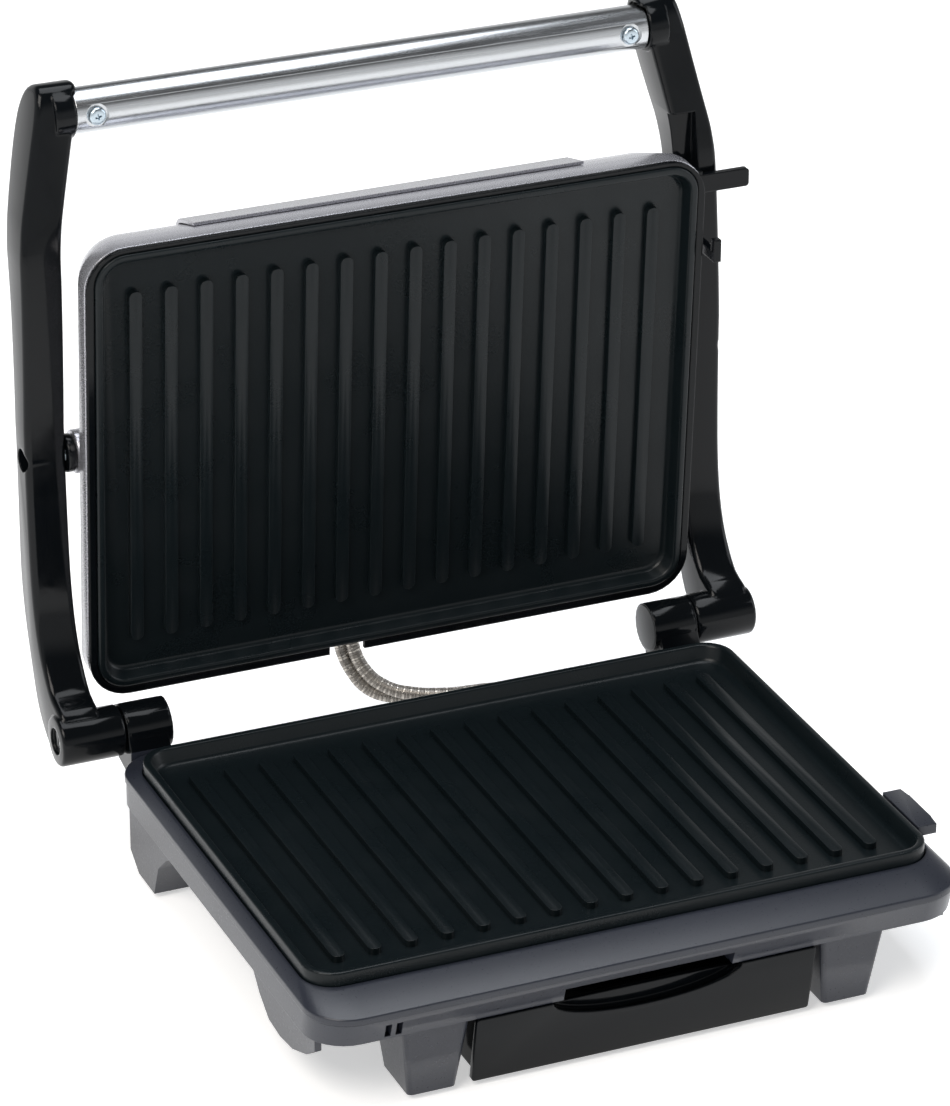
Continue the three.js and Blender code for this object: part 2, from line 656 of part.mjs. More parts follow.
// Each straight stretch is leant by itself, so its faces stay flat.
function bend(body, side) {
  const levels = [0, shankZ, elbowZ, 400];
  const stretches = levels.slice(1).map((top, i) => body
    .intersect(box(-200, 200, 0, 300, levels[i], top))
    .warp((vertex) => {
      vertex[0] -= side * lean(vertex[2]);
    }));
  return joined(...stretches);
}

// The side view of an arm, front edge from the hub to the handle, then the back edge down again.
function armOutline() {
  const fromHinge = ([y, z]) => [hingeY + y, hingeZ + z];
  const fromPivot = ([y, z]) => [hingeY + y, pivotZ + z];
  const fromHandle = ([y, z]) => [hingeY + y, handleZ + z];
  return [
    ...[[-4, 9.2], [6.6, 14.7], [13.6, 22.2], [18.6, 30.7], [22.2, 41.7], [24.6, 56.7]].map(fromHinge),
    ...[[25.8, -25.9], [26.4, -1.9]].map(fromPivot),
    ...[[26.6, -102.5], [27.8, -70.5], [29.2, -52.5], [31, -40.5], [33.8, -26.5], [36.6, -10.5], [38.6, 1.5],
      [41.6, 9], [45.6, 11.5], [51.6, 10.5], [56.2, 7.5], [59, 1.5], [59.5, -5.5], [57.8, -16.5], [54, -30.5],
      [50.6, -41.5], [47.2, -56.5], [44, -74.5], [41.2, -101.5]].map(fromHandle),
    ...[[39.8, 5.1], [39.8, -23.9]].map(fromPivot),
    ...[[39.8, 55.7], [37, 37.7], [31.4, 20.2], [25.2, 4.7], [17.6, -4.3], [10.1, -8.7], [3, -9.5]].map(fromHinge),
  ];
}

// A rod along X on one side of the press, between two distances from the middle.
function sideRod(radius, side, x0, x1, y, z, sides) {
  return rod(radius, [side * x0, y, z], [side * x1, y, z], sides);
}

function arm(side) {
  const x = [side * armInner, side * armOuter].sort((a, b) => a - b);
  const blade = bend(profile(armOutline(), ...x), side);
  const hub = sideRod(knuckleRadius + 0.2, side, hubInner, hubOuter, hingeY, hingeZ, 20);
  const collar = sideRod(handleRadius + 1.2, side, handleEnd, handleEnd + 8, handleY, handleZ, 22);
  const tubeRoom = sideRod(handleRadius + 1.2, side, handleEnd - 20, handleEnd, handleY, handleZ, 22);
  const spigot = sideRod(handleRadius - handleWall - gap, side, handleScrewX - 9, handleEnd + 1, handleY, handleZ, 16);
  const axle = sideRod(pinRadius + fit, side, hubInner - 1, hubOuter - 4, hingeY, hingeZ, 16);
  const eye = sideRod(5.3, side, hubOuter - 5, hubOuter + 1, hingeY, hingeZ, 16);
  const pivot = sideRod(pivotBore + fit, side, armInner - 1, armOuter + 1, pivotY, pivotZ, 16);
  const well = sideRod(pivotWell, side, armInner + 7, armOuter + 1, pivotY, pivotZ, 18);
  const screwHole = rod(1.6 + fit, [side * handleScrewX, handleY - handleRadius, handleZ],
    [side * handleScrewX, handleY + 1, handleZ], 10);
  const body = joined(cut(joined(blade, hub, collar), tubeRoom), spigot);
  return cut(body, axle, eye, pivot, well, screwHole);
}

function rightArm() {
  const notch = box(armInner - 10, armInner + notchWidth, hingeY + 14, notchBack, notchLow, notchHigh);
  const slot = box(armInner + notchWidth - 1, armInner + notchWidth + 3.8, notchBack - 5.5, notchBack - 1.5,
    notchLow, notchHigh);
  return cut(arm(1), notch, slot);
}

function handleTube() {
  const end = handleEnd - gap;
  const outer = rod(handleRadius, [-end, handleY, handleZ], [end, handleY, handleZ], 24);
  const inner = rod(handleRadius - handleWall, [-handleEnd, handleY, handleZ], [handleEnd, handleY, handleZ], 24);
  const holes = [-1, 1].map((side) => rod(1.9, [side * handleScrewX, handleY - handleRadius - 1, handleZ],
    [side * handleScrewX, handleY - 2, handleZ], 12));
  return cut(outer, inner, ...holes);
}

function handleScrew(side) {
  const screw = crossScrew(screwHead, 1.6, 8);
  return screw.rotate([-90, 0, 0]).translate([side * handleScrewX, handleY - handleRadius - gap, handleZ]);
}

function latch() {
  const inner = armInner + 0.4;
  const tabEnd = inner + tabReach;
  const slider = box(inner, armInner + notchWidth - run, notchBack - 11.5, notchBack - run, latchLow, latchHigh);
  const tongue = box(inner, armInner + notchWidth + 3.2, notchBack - 5, notchBack - 2, latchLow, latchHigh);
  const tab = slab(roundedRect(tabReach, tabHeight, 1.4), 0, 2.5)
    .rotate([90, 0, 0])
    .translate([(tabEnd + inner) / 2, notchBack - 9.2, tabLow + tabHeight / 2]);
  const hook = profile([
    [notchBack - 7, latchLow], [hookTip, latchLow], [hookTip, latchLow + hookRise], [hookTip + 3, latchLow + hookRise],
    [hookTip + 3, latchLow + 4], [notchBack - 7, latchLow + 4],
  ], inner, inner + 3);
  return joined(slider, tongue, tab, hook);
}

// ---- lid, in its own frame: z along the plate, y away from the food ----------------------------

// Turns a solid made lying flat (rim up) so that its up points to the front of the standing lid.
const stand = (body) => body.rotate([90, 0, 0]);

// Turns a solid whose up is away from the food.
const standBack = (body) => body.mirror([0, 0, 1]).rotate([90, 0, 0]);

function coverShape(inset) {
  return roundedRect(coverWidth - 2 * inset, coverHeight - 2 * inset, coverCorner - Math.min(inset, 10), lidPlateZ);
}

// The cover's outer solid: upright round the plate, then its sides lean in, and the back edge is rounded off.
// inset moves every face inwards and the back forwards.
function coverBlock(inset) {
  const turn = lidPlateBack + gap;
  const stop = coverBack - coverRound;
  const half = coverRound / 2;
  return joined(
    slab(coverShape(inset), coverFront - 1, turn),
    loft(coverShape(inset), coverShape(inset + coverDraft), turn, stop - inset),
    loft(coverShape(inset + coverDraft), coverShape(inset + coverDraft + half * 0.6), stop - inset,
      stop + half - inset),
    loft(coverShape(inset + coverDraft + half * 0.6), coverShape(inset + coverDraft + coverRound),
      stop + half - inset, coverBack - inset),
  );
}

function lidCover() {
  const shell = cut(coverBlock(0), coverBlock(coverWall), box(-coverWidth, coverWidth, -coverHeight, coverHeight, coverFront - 2, coverFront));
  const deep = coverBack - coverWall;
  const posts = plateTurn.map(([sx, sy]) => rod(6.4, [sx * screwX, sy * screwY + lidPlateZ, lidBossEnd + gap],
    [sx * screwX, sy * screwY + lidPlateZ, deep + 0.5], 10));
  const wells = plateTurn.map(([sx, sy]) => rod(plateScrewHead + run, [sx * screwX, sy * screwY + lidPlateZ, screwWell],
    [sx * screwX, sy * screwY + lidPlateZ, coverBack + 1], 12));
  const holes = plateTurn.map(([sx, sy]) => rod(2.3, [sx * screwX, sy * screwY + lidPlateZ, lidBossEnd - 1],
    [sx * screwX, sy * screwY + lidPlateZ, coverBack], 8));
  const propX = shieldWidth / 2 - 16;
  const propY = shieldDepth / 2 - 31;
  const props = plateTurn.map(([sx, sy]) => rod(3, [sx * propX, sy * propY, lidReflector + sheetThick + gap],
    [sx * propX, sy * propY, deep + 0.5], 6));
  const bosses = [-1, 1].map((side) => sideRod(6.5, side, coverWidth / 2 - 17, coverWidth / 2 - 6, 0, 0, 12));
  const pads = [-1, 1].map((side) => sideRod(8.5, side, coverWidth / 2 - 7, padFace, 0, 0, 16));
  const bores = [-1, 1].map((side) => sideRod(pivotBore + fit, side, coverWidth / 2 - 18, padFace + 1, 0, 0, 16));
  const mouth = box(mouthLeft, mouthRight, coverBottom - 2, coverBottom + 9, coverFront - 1, -1);
  const lampHoles = lampX.map((x) => rod(lampRadius + gap, [x, lampZ, deep - 1], [x, lampZ, coverBack + 1], 10));
  return standBack(cut(joined(shell, ...posts, ...props, ...bosses, ...pads), ...wells, ...holes, ...bores, mouth,
    ...lampHoles));
}

// A thin panel that hugs the cover's back and turns over its top edge.
function lidPanel() {
  const top = coverHeight / 2 + 10;
  const strap = box(-panelWidth / 2, panelWidth / 2, -coverHeight / 2 + 8, top, panelLip, coverBack + 5);
  const layer = cut(coverBlock(-gap - panelRaise), coverBlock(-gap));
  const lampHoles = lampX.map((x) => rod(lampRadius + gap, [x, lampZ, coverBack - 2], [x, lampZ, coverBack + 4], 10));
  return standBack(cut(layer.intersect(strap), ...lampHoles));
}

// The black ring round the upper plate, in front of the cover's edge.
function lidFrame() {
  const outer = roundedRect(coverWidth - 0.6, coverHeight + frameDrop, coverCorner, lidPlateZ - frameDrop / 2);
  const hole = roundedRect(plateWidth + 2 * gap, plateDepth + 2 * gap, plateCorner + gap, lidPlateZ);
  const ring = cut(slab(outer, frameFront, coverFront - gap), slab(hole, frameFront - 1, coverFront));
  const inside = plateWidth / 2 + gap;
  const cheeks = [-1, 1].map((side) => {
    const x = [side * inside, side * (inside + 1)].sort((a, b) => a - b);
    return box(...x, -55, 55, coverFront - 1, coverFront + 3);
  });
  const notch = box(notchLeft, notchRight, coverBottom - frameDrop - 2, lidPlateZ + 1 - plateDepth / 2, frameFront - 1,
    coverFront);
  return standBack(cut(joined(ring, ...cheeks), notch));
}

function upperPlate() {
  const body = cut(joined(ribbedPlate(), ...plateBosses(bossLength)), ...bossHoles(bossLength));
  return stand(body).translate([0, lidRim, lidPlateZ]);
}

function upperPlateScrew([sx, sy]) {
  const seat = screwWell + gap;
  const reach = seat - (lidPlateBack - gap);
  const screw = panScrew(plateScrewHead, plateScrewShank, reach).rotate([180, 0, 0]);
  return standBack(screw.translate([sx * screwX, sy * screwY + lidPlateZ, seat]));
}

function upperFuse() {
  return sideRod(3.6, 1, -12, 12, lidPlateBack + 4.2, 22, 12);
}

function sleeveClip() {
  return standBack(box(mouthLeft + 2, mouthRight, coverBottom + 12.5, coverBottom + 18, -2,
    coverBack - coverWall - gap));
}

function pivotBush(side) {
  return cut(
    sideRod(bushRadius, side, padFace + gap, armInner - gap, 0, 0, 24),
    sideRod(pivotBore + fit, side, padFace, armInner, 0, 0, 16),
  );
}

function pivotScrew(side) {
  const seat = armInner + 7 + gap;
  return joined(
    sideRod(pivotWell - 0.5, side, seat, seat + 3, 0, 0, 18),
    sideRod(pivotBore, side, coverWidth / 2 - 16, seat + 0.5, 0, 0, 16),
  );
}

function lamp(x) {
  return standBack(rod(lampRadius, [x, lampZ, coverBack - coverWall - 3], [x, lampZ, coverBack + 2.6], 10));
}

// ---- the press ---------------------------------------------------------------------------------

add("base_housing", baseHousing(), slatePlastic);
add("base_frame", baseFrame(), slatePlastic);
add("lower_plate", lowerPlate(), coating);
add("lower_element", element().translate([0, 0, plateBottom - gap - elementRadius]), heaterSteel);
add("lower_reflector", reflector(shieldWidth, shieldDepth).translate([0, 0, tubFloorTop + gap]), steel);
add("lower_thermostat", thermostat(), ceramic);
plateTurn.forEach((turn, i) => add(`lower_plate_screw_${i + 1}`, lowerPlateScrew(turn), zinc));
add("terminal_block", terminalBlock(), ceramic);
add("cord_inlet", cordInlet(), rubber);
add("hinge_pin_left", hingePin(-1), steel);
add("hinge_pin_right", hingePin(1), steel);
add("foot_pad_1", footPad(-legFootX, padFrontY), rubber);
add("foot_pad_2", footPad(legFootX, padFrontY), rubber);
add("foot_pad_3", footPad(padRearX, padRearY), rubber);
add("foot_pad_4", footPad(-padRearX, padRearY), rubber);
add("conduit_front", sleeve(frontSleeve), steel);
add("conduit_rear", sleeve(rearSleeve), steel);
add("conduit_clamp", sleeveClamp(), ceramic);

add("drip_tray", dripTray(), glossBlack);

add("arm_left", arm(-1), glossBlack);
add("arm_right", rightArm(), glossBlack);
add("handle_tube", handleTube(), steel);
add("handle_screw_left", handleScrew(-1), zinc);
add("handle_screw_right", handleScrew(1), zinc);
add("latch", latch(), glossBlack);

add("upper_plate", upperPlate(), coating, lid);
add("upper_element", standBack(element().rotate([0, 0, 180]).translate([0, 0, lidPlateBack + gap + elementRadius])),
  heaterSteel, lid);
add("upper_reflector", standBack(reflector(shieldWidth, shieldDepth).rotate([180, 0, 0])
  .translate([0, lidPlateZ, lidReflector + sheetThick])), steel, lid);
add("upper_fuse", upperFuse(), ceramic, lid);
plateTurn.forEach((turn, i) => add(`upper_plate_screw_${i + 1}`, upperPlateScrew(turn), zinc, lid));
add("lid_frame", lidFrame(), glossBlack, lid);
add("lid_cover", lidCover(), silverPaint, lid);
add("lid_panel", lidPanel(), panelPaint, lid);
add("sleeve_clip", sleeveClip(), ceramic, lid);
add("lamp_power", lamp(lampX[0]), redLens, lid);
add("lamp_ready", lamp(lampX[1]), greenLens, lid);
add("pivot_bush_left", pivotBush(-1), glossBlack, lid);
add("pivot_bush_right", pivotBush(1), glossBlack, lid);
add("pivot_screw_left", pivotScrew(-1), zinc, lid);
add("pivot_screw_right", pivotScrew(1), zinc, lid);

// The origin is at the middle of the footprint, on the worktop.
press.updateMatrixWorld(true);
const middle = new THREE.Box3().setFromObject(press, true).getCenter(new THREE.Vector3());
press.position.set(-middle.x, -middle.y, 0);

export default press;
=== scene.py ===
import json
import math
import bmesh
import bpy
from mathutils import Matrix, Vector


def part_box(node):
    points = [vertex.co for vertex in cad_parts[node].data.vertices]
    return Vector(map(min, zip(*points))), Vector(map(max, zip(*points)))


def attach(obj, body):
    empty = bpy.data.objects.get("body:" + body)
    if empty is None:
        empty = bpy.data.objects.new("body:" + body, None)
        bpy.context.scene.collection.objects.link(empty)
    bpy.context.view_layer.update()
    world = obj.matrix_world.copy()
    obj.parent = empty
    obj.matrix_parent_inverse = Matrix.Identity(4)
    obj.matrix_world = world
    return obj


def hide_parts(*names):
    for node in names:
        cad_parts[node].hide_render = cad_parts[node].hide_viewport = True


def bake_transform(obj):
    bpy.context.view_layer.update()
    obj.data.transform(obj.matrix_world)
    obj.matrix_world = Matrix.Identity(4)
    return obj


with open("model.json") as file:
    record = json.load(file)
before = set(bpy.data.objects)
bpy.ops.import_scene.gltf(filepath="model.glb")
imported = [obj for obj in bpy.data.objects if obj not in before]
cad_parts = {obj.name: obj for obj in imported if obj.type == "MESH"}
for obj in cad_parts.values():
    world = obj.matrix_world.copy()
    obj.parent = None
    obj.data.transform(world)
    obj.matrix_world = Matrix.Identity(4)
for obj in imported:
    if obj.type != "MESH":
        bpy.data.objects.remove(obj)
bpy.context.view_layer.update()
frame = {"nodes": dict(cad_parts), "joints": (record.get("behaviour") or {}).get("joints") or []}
joints = {joint["name"]: joint for joint in frame["joints"]}

# ---- Studio ---------------------------------------------------------------------------------
# A pale floor that runs out of sight, one large soft light over the left shoulder, a weaker one
# from the right and a white room all round, which is what the glossy plastic mirrors.

MM = 0.001


def hex_colour(text):
    """Turns an sRGB hex colour into the linear values that the shader wants."""
    parts = [int(text[i:i + 2], 16) / 255 for i in (1, 3, 5)]
    return tuple(c / 12.92 if c <= 0.04045 else ((c + 0.055) / 1.055) ** 2.4 for c in parts) + (1.0,)


def add_node(material, kind, inputs=None, **settings):
    """Adds one node: settings are its own options, inputs are values or other nodes' sockets."""
    node = material.node_tree.nodes.new(kind)
    for name, value in settings.items():
        setattr(node, name, value)
    for name, value in (inputs or {}).items():
        if isinstance(value, bpy.types.NodeSocket):
            material.node_tree.links.new(value, node.inputs[name])
        else:
            node.inputs[name].default_value = value
    return node


def new_material(name):
    material = bpy.data.materials.new(name)
    material.use_nodes = True
    material.node_tree.nodes.clear()
    return material


def close_material(material, shader):
    add_node(material, "ShaderNodeOutputMaterial", {"Surface": shader.outputs["BSDF"]})
    return material


def place_coords(material):
    return add_node(material, "ShaderNodeTexCoord").outputs["Object"]


camera_place = Vector((-0.71519, -1.64076, 1.00882))
camera_turn = (math.radians(-23.20), math.radians(25.98), math.radians(0.13))
bpy.ops.object.camera_add(location=camera_place)
camera = bpy.context.object
camera.matrix_world = (Matrix.Translation(camera_place) @ Matrix.Rotation(camera_turn[0], 4, "Z")
                       @ Matrix.Rotation(math.pi / 2 - camera_turn[1], 4, "X")
                       @ Matrix.Rotation(camera_turn[2], 4, "Z"))
camera.data.sensor_width = 36
camera.data.lens = 175.9
camera.data.clip_end = 50
bpy.context.scene.camera = camera


def soft_light(name, place, aim, width, depth, watts, colour):
    bpy.ops.object.light_add(type="AREA", location=place)
    light = bpy.context.object
    light.name = name
    light.rotation_euler = (Vector(aim) - Vector(place)).to_track_quat("-Z", "Y").to_euler()
    light.data.shape = "RECTANGLE"
    light.data.size = width
    light.data.size_y = depth
    light.data.energy = watts
    light.data.color = hex_colour(colour)[:3]


soft_light("key_light", (-1.5, -0.9, 1.9), (0, 0, 0.1), 1.5, 1.2, 40, "#fffaf4")
soft_light("top_light", (0.1, 0.3, 2.2), (0, 0, 0.1), 1.6, 1.6, 34, "#f6faff")
soft_light("right_light", (1.7, -0.5, 0.9), (0, 0, 0.1), 0.9, 1.2, 8, "#f4f8ff")

world = bpy.data.worlds.new("white_room")
world.use_nodes = True
up = add_node(world, "ShaderNodeSeparateXYZ", {"Vector": add_node(world, "ShaderNodeTexCoord").outputs["Generated"]})
shade = add_node(world, "ShaderNodeMapRange", {"Value": up.outputs["Z"], "From Min": 0.2, "From Max": 0.55,
                                               "To Min": 0.9, "To Max": 0.1}, interpolation_type="SMOOTHSTEP")
background = world.node_tree.nodes["Background"]
background.inputs["Color"].default_value = hex_colour("#f4f5f6")
world.node_tree.links.new(shade.outputs["Result"], background.inputs["Strength"])
bpy.context.scene.world = world
bpy.context.scene.view_settings.view_transform = "Standard"

floor_paper = new_material("white_paper_floor")
close_material(floor_paper, add_node(floor_paper, "ShaderNodeBsdfPrincipled",
                                     {"Base Color": hex_colour("#f2f2f2"), "Roughness": 0.9,
                                      "Emission Color": hex_colour("#ffffff"), "Emission Strength": 0.5}))
bpy.ops.object.select_all(action="DESELECT")
bpy.ops.mesh.primitive_plane_add(size=16, location=(0, 0, -0.0004))
floor = bpy.context.object
floor.name = "floor"
floor.data.materials.append(floor_paper)

# ---- Cooking plates -------------------------------------------------------------------------
# Two cast aluminium plates, a raised rim round sixteen rounded ribs, sprayed with a near-black
# non-stick coating that keeps a fine orange-peel. The lower one has a slot for fat at its front;
# both are held from behind by screws, so nothing shows on the food side.

low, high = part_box("lower_plate")
MID_X = (low.x + high.x) / 2
LOWER_Y = (low.y + high.y) / 2
RIM_TOP = high.z
PLATE = (244 * MM, 183 * MM)
PLATE_CORNER = 12 * MM
RIM = 3 * MM
PAN_DEEP = 6.5 * MM
PLATE_THICK = 9.5 * MM
RIB = (5 * MM, 148 * MM, 2.6 * MM)
RIB_PITCH = 14 * MM
PIVOT = Vector(joints["lid_tilt"]["pos_m"])
PIVOT.x = MID_X
LID_LEAN = math.radians(3.45)
LID_PLATE_UP = -1.4 * MM
TO_LID = (Matrix.Translation(PIVOT) @ Matrix.Rotation(LID_LEAN, 4, "X")
          @ Matrix.Rotation(math.radians(90), 4, "X"))


def open_mesh(name=None):
    """Opens the active object for modelling, in place, with nothing selected."""
    piece = bpy.context.object
    if name:
        piece.name = piece.data.name = name
    bpy.ops.object.transform_apply(location=True, rotation=True, scale=True)
    bpy.ops.object.mode_set(mode="EDIT")
    bpy.ops.mesh.select_all(action="DESELECT")
    return piece


def pick(kind, test):
    """Selects what passes the test: faces by middle and normal, edges by middle and direction."""
    bpy.ops.mesh.select_all(action="DESELECT")
    bpy.ops.mesh.select_mode(type=kind)
    mesh = bmesh.from_edit_mesh(bpy.context.object.data)
    mesh.normal_update()
    for face in mesh.faces if kind == "FACE" else ():
        face.select_set(test(face.calc_center_median(), face.normal))
    for edge in mesh.edges if kind == "EDGE" else ():
        a, b = (v.co for v in edge.verts)
        edge.select_set(test((a + b) / 2, (b - a).normalized()))
    for vertex in mesh.verts if kind == "VERT" else ():
        vertex.select_set(test(vertex.co, vertex.normal))
    mesh.select_flush_mode()
    bmesh.update_edit_mesh(bpy.context.object.data)


def raise_by(x, y, z):
    bpy.ops.mesh.extrude_region_move(TRANSFORM_OT_translate={"value": (x, y, z)})


def round_edges(width, segments, test):
    pick("EDGE", test)
    bpy.ops.mesh.bevel(offset=width, segments=segments, affect="EDGES", clamp_overlap=True)


def close_mesh(outwards=True):
    if outwards:
        bpy.ops.mesh.select_all(action="SELECT")
        bpy.ops.mesh.normals_make_consistent(inside=False)
    bpy.ops.object.mode_set(mode="OBJECT")
    return bpy.context.object


def rounded_block(name, width, depth, corner, z0, z1, x=0.0, y=0.0, segments=8):
    """A block with rounded corners, left open for modelling, its top and bottom still sharp."""
    bpy.ops.mesh.primitive_plane_add(size=1, location=(x, y, z0), scale=(1, 1, 1))
    bpy.context.object.scale = (width, depth, 1)
    piece = open_mesh(name)
    bpy.ops.mesh.select_all(action="SELECT")
    bpy.ops.mesh.bevel(offset=corner, segments=segments, affect="VERTICES")
    bpy.ops.mesh.select_all(action="SELECT")
    raise_by(0, 0, z1 - z0)
    bpy.ops.mesh.select_all(action="SELECT")
    bpy.ops.mesh.normals_make_consistent(inside=False)
    return piece


def copy_of(piece, name, matrix=Matrix.Identity(4)):
    new = piece.copy()
    new.data = piece.data.copy()
    new.name = new.data.name = name
    new.data.transform(matrix)
    bpy.context.collection.objects.link(new)
    return new


def select_only(*pieces):
    bpy.ops.object.select_all(action="DESELECT")
    for piece in pieces:
        piece.select_set(True)
    bpy.context.view_layer.objects.active = pieces[0]


def join(*pieces):
    select_only(*pieces)
    bpy.ops.object.join()
    return pieces[0]


def carve(piece, tool, operation="DIFFERENCE"):
    """Cuts the tool out of the piece, or welds it on, and throws the tool away."""
    modifier = piece.modifiers.new("carve", "BOOLEAN")
    modifier.operation = operation
    modifier.solver = "EXACT"
    modifier.object = tool
    select_only(piece)
    bpy.ops.object.modifier_apply(modifier=modifier.name)
    bpy.data.objects.remove(tool)
    return piece


def soften(piece, width, segments=3, angle=40):
    """Rounds every edge sharper than the angle."""
    select_only(piece)
    bevel = piece.modifiers.new("soften", "BEVEL")
    bevel.width = width
    bevel.segments = segments
    bevel.limit_method = "ANGLE"
    bevel.angle_limit = math.radians(angle)
    bpy.ops.object.modifier_apply(modifier=bevel.name)
    return piece


def finish_piece(piece, material, body, slot, *nodes, smooth=38):
    select_only(piece)
    bpy.ops.object.shade_smooth_by_angle(angle=math.radians(smooth))
    piece.data.materials.clear()
    piece.data.materials.append(material)
    if body:
        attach(piece, body)
    if nodes:
        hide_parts(*nodes)
    return piece


def speckle(material, millimetres, distance, strength=1.0, base=None, detail=3.0):
    """A fine bump whose bumps are that many millimetres apart and that many millimetres high."""
    grain = add_node(material, "ShaderNodeTexNoise", {"Vector": place_coords(material), "Scale": 1000 / millimetres,
                                                      "Detail": detail})
    inputs = {"Height": grain.outputs["Fac"], "Distance": distance * MM, "Strength": strength}
    if base:
        inputs["Normal"] = base
    return add_node(material, "ShaderNodeBump", inputs), grain


def tone_and_shade(material, grain, dark, light):
    """Two colours mixed by a pattern, as its own socket."""
    mix = add_node(material, "ShaderNodeMix", {"Factor": grain}, data_type="RGBA")
    mix.inputs[6].default_value = hex_colour(dark)
    mix.inputs[7].default_value = hex_colour(light)
    return mix.outputs[2]


def spread(material, pattern, low_value, high_value):
    return add_node(material, "ShaderNodeMapRange", {"Value": pattern, "From Min": 0.3, "From Max": 0.7,
                                                     "To Min": low_value, "To Max": high_value}).outputs["Result"]


# Sprayed PTFE over cast aluminium: satin, with a soft sparkle from the primer under it.
coated_casting = new_material("sprayed_ptfe_on_cast_aluminium")
peel, peel_grain = speckle(coated_casting, 1.1, 0.05, 0.6)
cloud = add_node(coated_casting, "ShaderNodeTexNoise", {"Vector": place_coords(coated_casting), "Scale": 45.0})
close_material(coated_casting, add_node(coated_casting, "ShaderNodeBsdfPrincipled", {
    "Base Color": tone_and_shade(coated_casting, peel_grain.outputs["Fac"], "#0a1012", "#11181b"),
    "Roughness": spread(coated_casting, cloud.outputs["Fac"], 0.25, 0.34), "IOR": 1.38,
    "Specular IOR Level": 0.35,
    "Normal": peel.outputs["Normal"]}))

rounded_block("cooking_plate", *PLATE, PLATE_CORNER, -PLATE_THICK, 0)
pick("FACE", lambda at, normal: normal.z > 0.9)
bpy.ops.mesh.inset(thickness=RIM, depth=0)
raise_by(0, 0, -PAN_DEEP)
bpy.ops.transform.resize(value=(1 - 3 * MM / PLATE[0], 1 - 3 * MM / PLATE[1], 1), center_override=(0, 0, -PAN_DEEP))
round_edges(1.8 * MM, 4, lambda at, way: abs(at.z + PAN_DEEP) < 1e-5 and abs(way.z) < 0.1)
round_edges(0.8 * MM, 3, lambda at, way: abs(at.z) < 1e-5)
round_edges(1.2 * MM, 3, lambda at, way: abs(at.z + PLATE_THICK) < 1e-5 and abs(way.z) < 0.1)
pan = close_mesh()

rounded_block("rib", RIB[0], RIB[1], RIB[0] * 0.498, -PAN_DEEP - 0.5 * MM, -PAN_DEEP + RIB[2], segments=6)
round_edges(1.7 * MM, 4, lambda at, way: abs(at.z + PAN_DEEP - RIB[2]) < 1e-5)
rib = close_mesh()
RIB_COUNT = 16
ribs = [copy_of(rib, "rib_%d" % i, Matrix.Translation((RIB_PITCH * (i - (RIB_COUNT - 1) / 2), 0, 0)))
        for i in range(RIB_COUNT)]
bpy.data.objects.remove(rib)
upper_plate = join(copy_of(pan, "upper_plate_casting"), *(copy_of(rib, rib.name + "_up") for rib in ribs))
upper_plate.data.transform(TO_LID @ Matrix.Translation((0, LID_PLATE_UP, 22.8 * MM)))
finish_piece(upper_plate, coated_casting, "lid", "cast_coating", "upper_plate")

DRAIN = (34 * MM, 5 * MM, -87.0 * MM)
rounded_block("drain_cutter", DRAIN[0], DRAIN[1], 1.6 * MM, -20 * MM, 1 * MM, y=DRAIN[2] + DRAIN[1] / 2, segments=4)
lower_plate = carve(pan, close_mesh())
lower_plate.name = lower_plate.data.name = "lower_plate_casting"
rounded_block("drain_spout", DRAIN[0] + 2.4 * MM, DRAIN[1] + 2.4 * MM, 2.2 * MM, -24 * MM, -8 * MM,
              y=DRAIN[2] + DRAIN[1] / 2, segments=4)
pick("FACE", lambda at, normal: abs(normal.z) > 0.9)
bpy.ops.mesh.inset(thickness=1.1 * MM)
bpy.ops.mesh.bridge_edge_loops()
spout = close_mesh()
lower_plate = join(lower_plate, *ribs, spout)
lower_plate.data.transform(Matrix.Translation((MID_X, LOWER_Y, RIM_TOP)))
finish_piece(lower_plate, coated_casting, "base", "cast_coating", "lower_plate")

# ---- Base: top frame ------------------------------------------------------------------------
# The upper half of the base, an ABS moulding in slate grey that slopes down from the plate to a
# crisp outer edge, with the lug on its right side that the latch's hook goes under.

low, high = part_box("base_frame")
BASE = (254 * MM, 213 * MM)
BASE_Y = low.y + BASE[1] / 2
LEDGE_OUTER = RIM_TOP - 8.4 * MM
LEDGE_INNER = RIM_TOP - 5 * MM


def moulded(name, dark, light, roughness, grain_mm=0.9, grain_high=0.03, edge=0.5, coat=0.0, ior=1.53, shine=0.5):
    """Moulded plastic: mould texture as a fine bump, and corners that are never quite sharp."""
    material = new_material(name)
    corner = add_node(material, "ShaderNodeBevel", {"Radius": edge * MM}, samples=6)
    skin, grain = speckle(material, grain_mm, grain_high, 0.5, corner.outputs["Normal"])
    broad = add_node(material, "ShaderNodeTexNoise", {"Vector": place_coords(material), "Scale": 28.0})
    return close_material(material, add_node(material, "ShaderNodeBsdfPrincipled", {
        "Base Color": tone_and_shade(material, broad.outputs["Fac"], dark, light), "IOR": ior,
        "Roughness": spread(material, grain.outputs["Fac"], roughness - 0.03, roughness + 0.04),
        "Coat Weight": coat, "Coat Roughness": 0.05, "Specular IOR Level": shine,
        "Normal": skin.outputs["Normal"]}))


# Spark-eroded ABS: an even satin skin, which greys where light falls flat across it.
slate_abs = moulded("satin_slate_abs", "#22252d", "#272a33", 0.3, shine=0.42)

